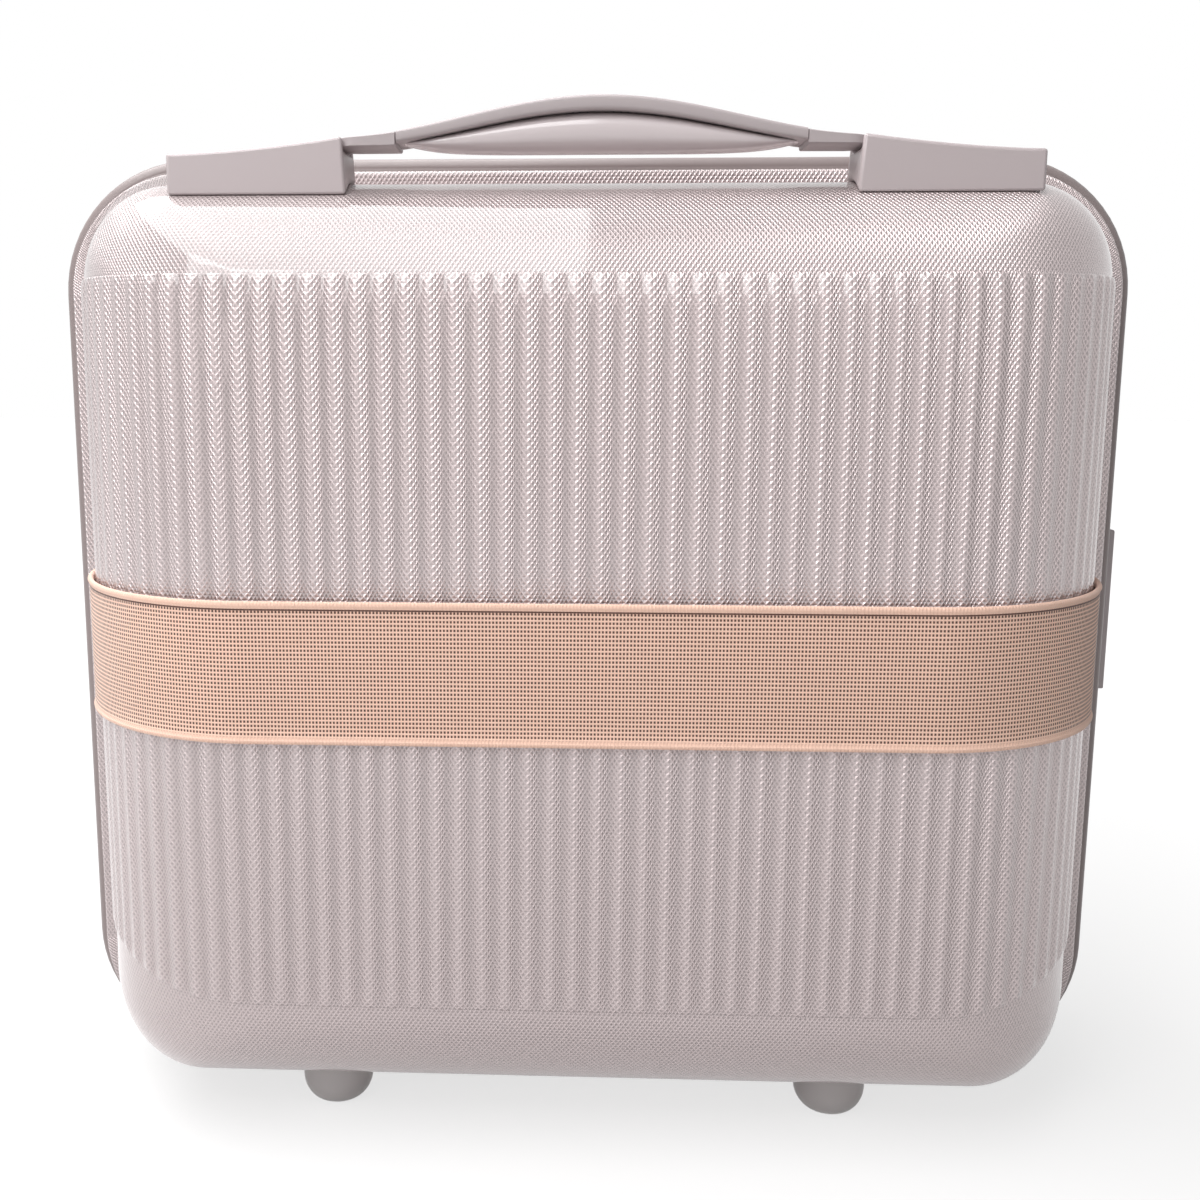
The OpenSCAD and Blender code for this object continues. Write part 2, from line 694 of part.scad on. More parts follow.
module lock_button() {
    color(grey) placed() translate([0, lock_cy, button_z]) {
        translate([lock_top - button_depth + 0.2, -button_w / 2, 0])
            cube([button_depth + 0.3, button_w, button_l]);
        for (k = [0:2])
            translate([lock_top + 0.4, -button_w / 2 + 1, button_l * (0.2 + k / 4)])
                cube([0.5, button_w - 2, button_l / 10]);
    }
}
module button_spring() {
    color(metal) placed() translate([spring_x, lock_cy, button_z - spring_l + seat_gap / 2])
        linear_extrude(spring_l - seat_gap, twist = -900, slices = 30, convexity = 8)
            translate([0.8, 0]) scale([0.25, 0.7]) circle(r = 1, $fn = 6);
}
module dial(k) {
    color(metal) placed() translate([dial_x, lock_cy, dials_mid + k * dial_pitch]) difference() {
        cylinder(r = dial_r, h = dial_t, center = true, $fn = 96);
        cylinder(r = shaft_r + run_gap, h = 2 * dial_t, center = true, $fn = 48);
        for (a = [0:36:324])
            rotate(a + 18) translate([dial_r + 0.5, 0, 0])
                cylinder(r = 1, h = 2 * dial_t, center = true, $fn = 24);
    }
}
module dial_upper() { dial(1); }
module dial_middle() { dial(0); }
module dial_lower() { dial(-1); }
module dial_shaft() {
    color(metal) placed() translate([dial_x, lock_cy, dials_mid - 1.5 * dial_pitch - 1.8])
        cylinder(r = shaft_r, h = 3 * dial_pitch + 3.6, $fn = 48);
}
// The plate follows the wall inside the lining
plate_arc = side_round - deck - 3 * seat_gap;
module lock_backing_plate() {
    color(metal) placed() difference() {
        intersection() {
            translate([flat_w, half_depth - side_round, lock_mid - lock_l / 2 + 1])
                difference() {
                    cylinder(r = plate_arc, h = lock_l - 2, $fn = 180);
                    translate([0, 0, -1]) cylinder(r = plate_arc - plate_t, h = lock_l, $fn = 180);
                }
            translate([flat_w, lock_cy - 5, lock_mid - lock_l]) cube([side_round, 10, 2 * lock_l]);
        }
        for (z = lock_screw_z) translate([lock_bore_x, lock_cy, z])
            rotate([0, 90, 0]) cylinder(r = screw_r + run_gap, h = 60, $fn = 32);
    }
}
function plate_x(y) = flat_w + sqrt(pow(plate_arc - plate_t, 2) - pow(y - half_depth + side_round, 2));
module lock_screws() {
    x0 = plate_x(lock_cy + head_r) - seat_gap;
    color(metal) placed() for (z = lock_screw_z) translate([x0, lock_cy, z]) rotate([0, 90, 0]) {
        cylinder(r = screw_r, h = lock_seat + 2.5 - x0, $fn = 32);
        translate([0, 0, -head_t]) cylinder(r = head_r, h = head_t, $fn = 32);
    }
}

// Zip slider: two plates joined by a web that runs between the rows, and a
// crown with the puller's bore. up is 1 with the nose down, -1 with it up.
slider_apart = 12;
crown_l = 4.4;
crown_t = 2.4;
hinge_rise = 3.1;
pull_x = rim_w - plate_out + hinge_rise;
module slider(up) {
    x_in = rim_w - plate_in;
    x_out = rim_w - plate_out;
    color(metal) placed() translate([0, 0, mid_z + lock_up + up * slider_apart])
        mirror([0, 0, up > 0 ? 0 : 1]) difference() {
            union() {
                for (x = [x_in - slider_plate, x_out - slider_plate])
                    translate([x, 0, 0]) rotate([0, 90, 0]) linear_extrude(slider_plate)
                        polygon([[-slider_l / 2 + 4, slider_w / 2 - 1], [-slider_l / 2 + 4, 1 - slider_w / 2],
                            [2, -slider_w / 2], [slider_l / 2 + 1, -slider_w / 2],
                            [slider_l / 2 + 3, 1.4 - slider_w / 2], [slider_l / 2 + 3, slider_w / 2 - 1.4],
                            [slider_l / 2 + 1, slider_w / 2], [2, slider_w / 2]]);
                translate([x_in - small, -chain_gap / 2, -slider_l / 2 - 2])
                    cube([x_out - x_in - slider_plate + 2 * small, chain_gap, 5]);
                translate([x_out - small, -crown_t / 2, -crown_l / 2])
                    cube([hinge_rise, crown_t, crown_l]);
                translate([pull_x, 0, 0]) rotate([90, 0, 0])
                    cylinder(r = 1.6, h = crown_t, center = true, $fn = 32);
            }
            translate([pull_x, 0, 0]) rotate([90, 0, 0])
                cylinder(r = pin_r + run_gap, h = 2 * crown_t, center = true, $fn = 32);
        }
}
module puller(up) {
    cheek = 1;
    side = crown_t / 2 + 0.15;
    color(metal) placed() translate([pull_x, 0, mid_z + lock_up + up * slider_apart]) {
        rotate([90, 0, 0]) cylinder(r = pin_r, h = 2 * (side + cheek), center = true, $fn = 32);
        for (s = [-1, 1]) translate([0, s * (side + cheek / 2), 0]) {
            rotate([90, 0, 0]) cylinder(r = 1.4, h = cheek, center = true, $fn = 32);
            translate([-pin_r, -cheek / 2, -4]) cube([2 * pin_r, cheek, 4]);
        }
        difference() {
            union() {
                translate([-pin_r, -side - cheek, -puller_l + 3]) cube([2 * pin_r, 2 * (side + cheek), puller_l - 6.2]);
                translate([0, 0, -puller_l + 3]) rotate([0, 90, 0])
                    cylinder(r = 3, h = 2 * pin_r, center = true, $fn = 48);
            }
            translate([0, 0, -puller_l + 3]) rotate([0, 90, 0])
                cylinder(r = 1.3, h = 4, center = true, $fn = 32);
        }
    }
}
module zip_slider_upper() { slider(1); }
module zip_slider_lower() { slider(-1); }
module zip_puller_upper() { puller(1); }
module zip_puller_lower() { puller(-1); }

body_shell();
body_rim_bead();
body_zip_tape();
body_zip_chain();
body_lining();
packing_straps();
hinge_strip_body();
luggage_band();
handle_cap_left();
handle_cap_right();
handle_tongues();
handle_backing_plates();
handle_screws();
body_feet();
body_foot_screws();
handle_strap();
handle_core();
handle_grip();
lid_shell();
lid_rim_bead();
lid_zip_tape();
lid_zip_chain();
lid_lining();
lid_pocket();
hinge_strip_lid();
lid_feet();
lid_foot_screws();
lock_housing();
lock_backing_plate();
lock_screws();
dial_shaft();
dial_upper();
dial_middle();
dial_lower();
lock_button();
button_spring();
zip_slider_upper();
zip_puller_upper();
zip_slider_lower();
zip_puller_lower();
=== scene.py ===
"""Looks of a ribbed hard-shell vanity case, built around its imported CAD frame.

The file is laid out as a Blender add-on and run as a script. Every new piece is
a surface worked out with numpy in millimetres from the case's own middle, and
put_mesh turns it into metres in the row frame.
"""

import json
import math

import bmesh
import bpy
import numpy as np
from bpy.props import FloatProperty, FloatVectorProperty, PointerProperty
from bpy.types import Operator, Panel, PropertyGroup
from mathutils import Matrix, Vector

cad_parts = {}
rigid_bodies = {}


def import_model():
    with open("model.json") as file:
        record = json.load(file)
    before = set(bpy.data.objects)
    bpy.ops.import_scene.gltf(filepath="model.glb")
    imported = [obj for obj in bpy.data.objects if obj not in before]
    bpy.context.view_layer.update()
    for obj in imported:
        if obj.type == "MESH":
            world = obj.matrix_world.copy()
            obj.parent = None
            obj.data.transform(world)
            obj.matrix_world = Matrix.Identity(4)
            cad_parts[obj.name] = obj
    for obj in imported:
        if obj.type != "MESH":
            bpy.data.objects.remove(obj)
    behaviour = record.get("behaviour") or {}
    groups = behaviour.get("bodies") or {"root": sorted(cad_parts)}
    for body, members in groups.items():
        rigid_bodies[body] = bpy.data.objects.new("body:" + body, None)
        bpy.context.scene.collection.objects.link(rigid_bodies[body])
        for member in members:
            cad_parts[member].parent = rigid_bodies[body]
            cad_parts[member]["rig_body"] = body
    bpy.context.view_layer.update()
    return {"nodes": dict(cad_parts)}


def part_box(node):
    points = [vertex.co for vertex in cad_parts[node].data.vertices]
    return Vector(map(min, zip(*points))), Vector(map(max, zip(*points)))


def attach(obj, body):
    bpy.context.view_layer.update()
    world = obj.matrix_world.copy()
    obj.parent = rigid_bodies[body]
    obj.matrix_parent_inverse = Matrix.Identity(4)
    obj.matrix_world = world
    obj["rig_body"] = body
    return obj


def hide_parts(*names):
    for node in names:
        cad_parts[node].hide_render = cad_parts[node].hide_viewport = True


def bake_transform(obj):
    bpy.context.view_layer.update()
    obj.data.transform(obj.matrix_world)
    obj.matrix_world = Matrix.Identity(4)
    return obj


bl_info = {
    "name": "Ribbed vanity case",
    "version": (1, 0, 0),
    "blender": (4, 5, 0),
    "location": "3D View > Sidebar > Vanity case",
    "description": "Dresses a ribbed hard-shell vanity case around its packed frame",
    "category": "Object",
}

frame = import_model()

MM = 0.001


# ---------------------------------------------------------------- dimensions

def node_box_mm(node):
    """Lowest and highest corner of a CAD node, in millimetres."""
    low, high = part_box(node)
    return np.array(low) / MM, np.array(high) / MM


bead_low, bead_high = node_box_mm("body_rim_bead")
lid_bead_low = node_box_mm("lid_rim_bead")[0]
cap_left, cap_right = node_box_mm("handle_cap_left")[0], node_box_mm("handle_cap_right")[1]

# The case's own middle: x between the sides, y at the seam, z at the ground
CENTRE_X = (bead_low[0] + bead_high[0]) / 2
SEAM_Y = (bead_high[1] + lid_bead_low[1]) / 2
RIM_W = (bead_high[0] - bead_low[0]) / 2
RIM_H = (bead_high[2] - bead_low[2]) / 2
MID_Z = (bead_high[2] + bead_low[2]) / 2
BEAD_R = (bead_high[1] - bead_low[1]) / 2
BEAD_OFF = SEAM_Y - (bead_high[1] + bead_low[1]) / 2

# The moulding: the CAD's sizes, but the CAD steps in by 11.8 mm at the sides. The
# skin is drawn wider, because less of the lip shows beside it in the photograph
HALF_DEPTH = 72.0
SIDE_ROUND = 57.0
END_ROUND = 36.0
SIDE_STEP = 10.6
END_STEP = 10.3
DRAFT = math.tan(math.radians(2))
FACE_CORNER = 12.0
SEAM_CORNER = 28.0
RIM_CORNER = 40.0
WALL = 2.2
SEAT_GAP = 0.15
LINING = 1.0
LIP_FRONT = 14.5
MAIN_W = RIM_W - SIDE_STEP
MAIN_H = RIM_H - END_STEP
FLAT_W = MAIN_W - SIDE_ROUND
FLAT_H = MAIN_H - END_ROUND
SHELL_L = HALF_DEPTH - LIP_FRONT
LINING_END = SHELL_L - 2 * WALL
LIP_IN = 4.4
SEAT_IN = LIP_IN + WALL
TAPE_IN = SEAT_IN + SEAT_GAP
TAPE_T = 0.8
TAPE_MID = TAPE_IN + TAPE_T / 2
TOP_Z = MID_Z + MAIN_H
DECK = WALL + SEAT_GAP + LINING

# The rib band stands this far off the skin, and dips under it past the ribs
RIB_CLEAR, DIP_END, DIP_SIDE = 0.04, -0.35, -0.3
RIDGE_PITCH = 6.4
RIDGE_COUNT = 54
RIDGE_UP = 106.7
RIDGE_DOWN = 98.0
# The ribs' lower ends climb towards the sides, over a run that starts so far out
CLIMB, CLIMB_START, CLIMB_RUN = 7.5, 105, 55

# The band lies one base above the skin, on the ribs' crests
BAND_H = 40.0
BAND_T = 1.2
BAND_BASE = 1.4
ROLL_RISE, ROLL_WIDE = 0.5, 1.7

# The handle, from its own middle
HANDLE_X = (cap_left[0] + cap_right[0]) / 2 - CENTRE_X
HANDLE_BACK = 28.6
HANDLE_Y = -HALF_DEPTH + HANDLE_BACK
CAP_IN = 69.6
CAP_HIGH = 10.9
MOUTH = CAP_IN + 12
STRAP_W = 18.0
STRAP_T = 3.9
STRAP_RISE = 10.5
STRAP_HALF = 55.0
GRIP_HALF = 54.0
GRIP_LOW = TOP_Z + 7.0

FOOT_X, FOOT_Y, FOOT_R, FOOT_FLAT, FOOT_DOME = 77.5, 30.0, 11.0, 4.5, 8.0

# The lock: how far it stands out from the rim, and how far its dials stand out of it
LOCK_MID = MID_Z + 4
LOCK_CY = 21.9
LOCK_OUT = 8.3
DIAL_OUT = 1
DIAL_R = 6.5
DIAL_X = RIM_W + LOCK_OUT + DIAL_OUT - DIAL_R
DIAL_DROP = 4
DIAL_STEP = 7.6

# The packing straps, and the mesh pocket on the lid's lining
PACK_W, PACK_T, PACK_Y = 20.0, 1.2, -LIP_FRONT - 7.5
POCKET_W, POCKET_H, POCKET_D = 75.0, 120.0, 7.4
POCKET_BACK = HALF_DEPTH - DECK - SEAT_GAP
BINDING_W, BINDING_T = 5.2, 0.9
HEM_W, HEM_T = 7.0, 1.2


# ------------------------------------------------------------------ settings

def linear(code):
    """sRGB hex colour to Blender's linear red, green, blue and alpha."""
    parts = [int(code[i:i + 2], 16) / 255 for i in (0, 2, 4)]
    return tuple(p / 12.92 if p <= 0.04045 else ((p + 0.055) / 1.055) ** 2.4 for p in parts) + (1.0,)


class ShellSettings(PropertyGroup):
    """The moulded halves: their colour, ribs and embossed film."""
    colour: FloatVectorProperty(name="Film colour", description="Colour of the moulded film", subtype="COLOR",
                                size=4, min=0, max=1, default=linear("c4b6b6"))
    rib_rise: FloatProperty(name="Rib rise", description="How far a rib stands out, in millimetres",
                            default=0.75, min=0.3, max=1.5)
    emboss_wide: FloatProperty(name="Emboss width", description="Width of one embossed diamond, in millimetres",
                               default=1.345, min=0.8, max=3)
    emboss_high: FloatProperty(name="Emboss height", description="Height of one embossed diamond, in millimetres",
                               default=2.0, min=0.8, max=4)
    emboss_deep: FloatProperty(name="Emboss depth", description="Depth of the emboss, in millimetres",
                               default=0.36, min=0, max=0.6)


class TrimSettings(PropertyGroup):
    """Beads, handle, feet, zip and lock."""
    cap_colour: FloatVectorProperty(name="Cap colour", description="Colour of the handle's caps", subtype="COLOR",
                                    size=4, min=0, max=1, default=linear("b9aeaf"))
    bead_colour: FloatVectorProperty(name="Bead colour", description="Colour of the rim beads", subtype="COLOR",
                                     size=4, min=0, max=1, default=linear("8a7e7d"))
    grip_colour: FloatVectorProperty(name="Grip colour", description="Colour of the soft grip", subtype="COLOR",
                                     size=4, min=0, max=1, default=linear("c9bebf"))
    tooth_pitch: FloatProperty(name="Tooth pitch", description="Distance from coil to coil, in millimetres",
                               default=1.6, min=1, max=3)


class ClothSettings(PropertyGroup):
    """Luggage band, linings, straps and pocket."""
    band_colour: FloatVectorProperty(name="Band colour", description="Colour of the luggage band", subtype="COLOR",
                                     size=4, min=0, max=1, default=linear("fbd3bf"))
    lining_colour: FloatVectorProperty(name="Lining colour", description="Colour of the lining", subtype="COLOR",
                                       size=4, min=0, max=1, default=linear("8a7f81"))
    weave_wide: FloatProperty(name="Weave width", default=0.95, min=0.3, max=2,
                              description="Distance from hole to hole along the band, in millimetres")
    weave_high: FloatProperty(name="Weave height", default=1.18, min=0.5, max=3,
                              description="Distance from row to row across the band, in millimetres")


class StudioSettings(PropertyGroup):
    """Camera, floor and lamps."""
    camera_x: FloatProperty(name="Camera x", description="Camera from the case's middle, in millimetres", default=-2.6)
    camera_y: FloatProperty(name="Camera y", description="Camera from the seam, in millimetres", default=-452.4)
    camera_z: FloatProperty(name="Camera z", description="Camera above the ground, in millimetres", default=237.2)
    turn: FloatProperty(name="Turn", description="Camera turn to the right", default=-0.0484, subtype="ANGLE")
    nod: FloatProperty(name="Nod", description="Camera tilt below the horizon", default=0.1784, subtype="ANGLE")
    lens: FloatProperty(name="Lens", description="Focal length on a 36 mm sensor", default=43.08)
    shift: FloatProperty(name="Shift", description="Sideways shift of the picture, as a share of its width",
                         default=0.0758)
    sky: FloatProperty(name="Sky", description="Strength of the light from all round", default=0.2, min=0, max=2)
    overhead: FloatProperty(name="Overhead lamp", description="Power of the softbox above",
                            default=20.0, min=0, unit="POWER")
    left: FloatProperty(name="Left lamp", description="Power of the softbox at the front left",
                        default=3.1, min=0, unit="POWER")


# ------------------------------------------------------------------- meshes

def put_mesh(name, points, faces, material, uv=None, smooth=35.0):
    """New mesh object from points in the case's millimetres and lists of vertex
    numbers. uv holds one pair of surface millimetres to a vertex."""
    points = np.asarray(points, float)
    row = (points + np.array([CENTRE_X, SEAM_Y, 0.0])) * MM
    mesh = bpy.data.meshes.new(name)
    mesh.from_pydata(row.tolist(), [], [list(map(int, f)) for f in faces])
    mesh.update()
    if uv is not None:
        layer = mesh.uv_layers.new(name="surface")
        corner = np.empty(len(mesh.loops), dtype=np.int32)
        mesh.loops.foreach_get("vertex_index", corner)
        layer.data.foreach_set("uv", np.asarray(uv, np.float32)[corner].ravel())
    mesh.shade_smooth()
    mesh.set_sharp_from_angle(angle=math.radians(smooth))
    mesh.materials.append(material)
    obj = bpy.data.objects.new(name, mesh)
    bpy.context.scene.collection.objects.link(obj)
    return obj


def quads(rows, cols, close_rows=False, close_cols=False, base=0):
    """Vertex numbers of the quads between a grid's rows and columns."""
    r = np.arange(rows if close_rows else rows - 1)
    c = np.arange(cols if close_cols else cols - 1)
    r, c = np.meshgrid(r, c, indexing="ij")
    r2, c2 = (r + 1) % rows, (c + 1) % cols
    return np.stack([base + r * cols + c, base + r * cols + c2, base + r2 * cols + c2, base + r2 * cols + c],
                    axis=-1).reshape(-1, 4)


def for_side(side, part):
    """A body piece as it is, or the lid's copy: y changes sign, each face turns round."""
    points, faces, uv = part
    if side == "body":
        return part
    return np.asarray(points) * np.array([1.0, -1.0, 1.0]), [list(f)[::-1] for f in faces], uv


def joined(*parts):
    """Several (points, faces, uv) parts as one set of arrays."""
    points, faces, uvs, base = [], [], [], 0
    for p, f, uv in parts:
        points.append(p)
        uvs.append(uv)
        faces += [[i + base for i in face] for face in (f.tolist() if hasattr(f, "tolist") else f)]
        base += len(p)
    return np.vstack(points), faces, np.vstack(uvs)


def solid(grid, uv=None):
    """Closed surface from rows of points that go round a piece: quads between the
    rows, and a flat cap on both ends. The sum of the cones from the origin over
    all faces tells whether they point outwards."""
    rows, cols = grid.shape[:2]
    points = grid.reshape(-1, 3)
    faces = quads(rows, cols, close_cols=True)
    a, b, c, d = (points[faces[:, k]] for k in range(4))
    volume = np.einsum("ij,ij->", a, np.cross(b, c)) + np.einsum("ij,ij->", a, np.cross(c, d))
    caps = [np.arange(cols)[::-1], np.arange((rows - 1) * cols, rows * cols)]
    for cap in caps:
        first, middle, last = points[cap[0]], points[cap[1:-1]], points[cap[2:]]
        volume += np.einsum("ij,ij->", np.broadcast_to(first, middle.shape), np.cross(middle, last))
    faces = faces.tolist() + [cap.tolist() for cap in caps]
    if volume < 0:
        faces = [f[::-1] for f in faces]
    return points, faces, np.zeros((len(points), 2)) if uv is None else uv.reshape(-1, 2)


def many(grids):
    """Copies of one closed form, each with its own points: grids has the form's
    number, its rows, its columns and x, y, z as its axes."""
    count, rows, cols = grids.shape[:3]
    _, one, _ = solid(grids[0])
    size = rows * cols
    faces = [[i + k * size for i in face] for k in range(count) for face in one]
    return grids.reshape(-1, 3), faces, np.zeros((count * size, 2))


def rounded(width, height, r, n):
    """Outline of a rectangle about the origin with quarter-circle corners."""
    a = np.radians(np.concatenate([90 * q + np.linspace(0, 90, n) for q in range(4)]))
    cx = np.repeat([1, -1, -1, 1], n) * (width / 2 - r)
    cz = np.repeat([1, 1, -1, -1], n) * (height / 2 - r)
    return cx + r * np.cos(a), cz + r * np.sin(a)


def softened(node, material, width, segments=3):
    """A merged copy of a CAD node with rounded edges, which stands for the node.
    Edges sharper than 30 degrees are rounded, and those past 40 stay sharp in the
    shading. Seams of less than one degree between flat faces are dissolved."""
    flat, bent, sharp = (math.radians(a) for a in (1.0, 30.0, 40.0))
    source = frame["nodes"][node]
    mesh = source.data.copy()
    mesh.name = node + "_soft"
    work = bmesh.new()
    work.from_mesh(mesh)
    bmesh.ops.remove_doubles(work, verts=work.verts, dist=0.000002)
    bmesh.ops.dissolve_limit(work, angle_limit=flat, verts=work.verts, edges=work.edges)
    work.to_mesh(mesh)
    work.free()
    mesh.shade_smooth()
    mesh.set_sharp_from_angle(angle=sharp)
    mesh.materials.clear()
    mesh.materials.append(material)
    obj = bpy.data.objects.new(node + "_soft", mesh)
    bpy.context.scene.collection.objects.link(obj)
    bevel = obj.modifiers.new("rounded edges", "BEVEL")
    bevel.width = width * MM
    bevel.segments = segments
    bevel.limit_method = "ANGLE"
    bevel.angle_limit = bent
    bevel.use_clamp_overlap = False
    bevel.miter_outer = "MITER_ARC"
    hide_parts(node)
    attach(obj, source["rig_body"])
    return obj


def place(name, part, material, body, slot, *nodes, smooth=40.0):
    """Makes a piece, lets it ride on its body and stand for its CAD nodes."""
    points, faces, uv = part
    obj = put_mesh(name, points, faces, material, uv, smooth)
    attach(obj, body)
    if nodes:
        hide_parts(*nodes)
    return obj


def finish_node(node, material):
    """Gives a CAD node that stays its material."""
    mesh = frame["nodes"][node].data
    if len(mesh.materials):
        for k in range(len(mesh.materials)):
            mesh.materials[k] = material
    else:
        mesh.materials.append(material)


# ---------------------------------------------------------------- materials

def add(tree, kind, settings=None, links=None):
    """Adds one node: settings are its properties or the values of its inputs,
    and links say which output goes into which of its inputs."""
    node = tree.nodes.new(kind)
    for key, value in (settings or {}).items():
        if isinstance(key, int) or key in node.inputs:
            node.inputs[key].default_value = value
        else:
            setattr(node, key, value)
    for key, output in (links or {}).items():
        tree.links.new(output, node.inputs[key])
    return node


def new_material(name, colour, roughness, **sockets):
    """A material with its shader, for the patterns to be linked into."""
    material = bpy.data.materials.new(name)
    material.use_nodes = True
    tree = material.node_tree
    shader = tree.nodes["Principled BSDF"]
    shader.inputs["Base Color"].default_value = colour
    shader.inputs["Roughness"].default_value = roughness
    for key, value in sockets.items():
        shader.inputs[key].default_value = value
    return material, tree, shader


def surface_parts(tree):
    """The two surface coordinates, in millimetres."""
    uv = add(tree, "ShaderNodeUVMap", {"uv_map": "surface"})
    split = add(tree, "ShaderNodeSeparateXYZ", links={0: uv.outputs[0]})
    return split.outputs[0], split.outputs[1]


def saw(tree, along, pitch):
    """Triangle wave from 0 to 1 with the given pitch."""
    scaled = add(tree, "ShaderNodeMath", {"operation": "MULTIPLY", 1: 1.0 / pitch}, {0: along})
    wave = add(tree, "ShaderNodeMath", {"operation": "PINGPONG", 1: 0.5}, {0: scaled.outputs[0]})
    return add(tree, "ShaderNodeMath", {"operation": "MULTIPLY", 1: 2.0}, {0: wave.outputs[0]}).outputs[0]


def bump(tree, shader, height, distance_mm):
    """Bump from a height of 0 to 1 that is the given number of millimetres deep."""
    node = add(tree, "ShaderNodeBump", {"Strength": 1.0, "Distance": distance_mm * MM}, {"Height": height})
    tree.links.new(node.outputs[0], shader.inputs["Normal"])


def embossed_film(settings):
    """ABS sheet under a glossy pearl film, vacuum formed and embossed with fine
    diamonds by the roll: two sets of slanted ridges cross, and the eye sees a
    silky sheen that breaks into chevrons on the ribs. The hollows of the emboss
    get painted shade: the base colour is darker there."""
    painted_hollow_shade = 0.68
    material, tree, shader = new_material("embossed_pearl_ABS_film", settings.colour, 0.37, IOR=1.5, Metallic=0.6,
                                          **{"Coat Weight": 1.0, "Coat Roughness": 0.06})
    u, v = surface_parts(tree)
    across = add(tree, "ShaderNodeMath", {"operation": "MULTIPLY", 1: 1.0 / settings.emboss_wide}, {0: u})
    heights = []
    for sign in (1.0, -1.0):
        slant = add(tree, "ShaderNodeMath",
                    {"operation": "MULTIPLY_ADD", 1: sign / settings.emboss_high}, {0: v, 2: across.outputs[0]})
        heights.append(saw(tree, slant.outputs[0], 1.0))
    lines = add(tree, "ShaderNodeMath", {"operation": "SMOOTH_MAX", 2: 0.15}, {0: heights[0], 1: heights[1]})
    bump(tree, shader, lines.outputs[0], settings.emboss_deep)
    shade = add(tree, "ShaderNodeMapRange", {"From Min": 0.2, "From Max": 0.8}, {"Value": lines.outputs[0]})
    ramp = add(tree, "ShaderNodeMix", {"data_type": "RGBA"}, {0: shade.outputs[0]})
    # painted shade: the emboss's hollows take the film colour darkened by painted_hollow_shade
    ramp.inputs[6].default_value = tuple(c * painted_hollow_shade for c in settings.colour[:3]) + (1.0,)
    ramp.inputs[7].default_value = settings.colour
    tree.links.new(ramp.outputs[2], shader.inputs["Base Color"])
    return material


def moulded(name, colour, roughness, grain_mm, depth_mm, **sockets):
    """Injection moulding with a fine spark-eroded grain, whose gloss changes a
    little from place to place, over clouds of 14 mm."""
    cloud_mm = 14
    material, tree, shader = new_material(name, colour, roughness, **sockets)
    coords = add(tree, "ShaderNodeTexCoord")
    noise = add(tree, "ShaderNodeTexNoise", {"Scale": 1.0 / (grain_mm * MM), "Detail": 3.0},
                {"Vector": coords.outputs["Object"]})
    bump(tree, shader, noise.outputs[0], depth_mm)
    cloud = add(tree, "ShaderNodeTexNoise", {"Scale": 1.0 / (cloud_mm * MM), "Detail": 2.0},
                {"Vector": coords.outputs["Object"]})
    spread = add(tree, "ShaderNodeMapRange", {"To Min": roughness * 0.85, "To Max": roughness * 1.2},
                 {"Value": cloud.outputs[0]})
    tree.links.new(spread.outputs[0], shader.inputs["Roughness"])
    return material


def woven(name, colour, pitch_u, pitch_v, depth_mm, roughness=0.85, painted_weave_shade=0.45):
    """Plain weave on the piece's own surface millimetres: threads along both
    ways, with painted shade in the hollows between them, and faint clouds of 9 mm."""
    cloud_mm = 9.0
    material, tree, shader = new_material(name, colour, roughness, **{"Sheen Weight": 0.25, "Sheen Roughness": 0.5})
    u, v = surface_parts(tree)
    a, b = saw(tree, u, pitch_u), saw(tree, v, pitch_v)
    height = add(tree, "ShaderNodeMath", {"operation": "MAXIMUM"}, {0: a, 1: b})
    shade = add(tree, "ShaderNodeMapRange", {"From Min": 0.2, "From Max": 0.7}, {"Value": height.outputs[0]})
    cloud = add(tree, "ShaderNodeTexNoise", {"Scale": 1.0 / cloud_mm, "Detail": 2.0})
    both = add(tree, "ShaderNodeCombineXYZ", links={0: u, 1: v})
    tree.links.new(both.outputs[0], cloud.inputs["Vector"])
    fade = add(tree, "ShaderNodeMapRange", {"From Min": 0.3, "From Max": 0.7, "To Min": 0.82, "To Max": 1.0},
               {"Value": cloud.outputs[0]})
    shaded = add(tree, "ShaderNodeMath", {"operation": "MULTIPLY"}, {0: shade.outputs[0], 1: fade.outputs[0]})
    # painted shade: the weave's hollows take the colour darkened by painted_weave_shade; the clouds vary its tone
    mix = add(tree, "ShaderNodeMix", {"data_type": "RGBA"}, {0: shaded.outputs[0]})
    mix.inputs[6].default_value = tuple(c * painted_weave_shade for c in colour[:3]) + (1.0,)
    mix.inputs[7].default_value = colour
    tree.links.new(mix.outputs[2], shader.inputs["Base Color"])
    bump(tree, shader, height.outputs[0], depth_mm)
    return material


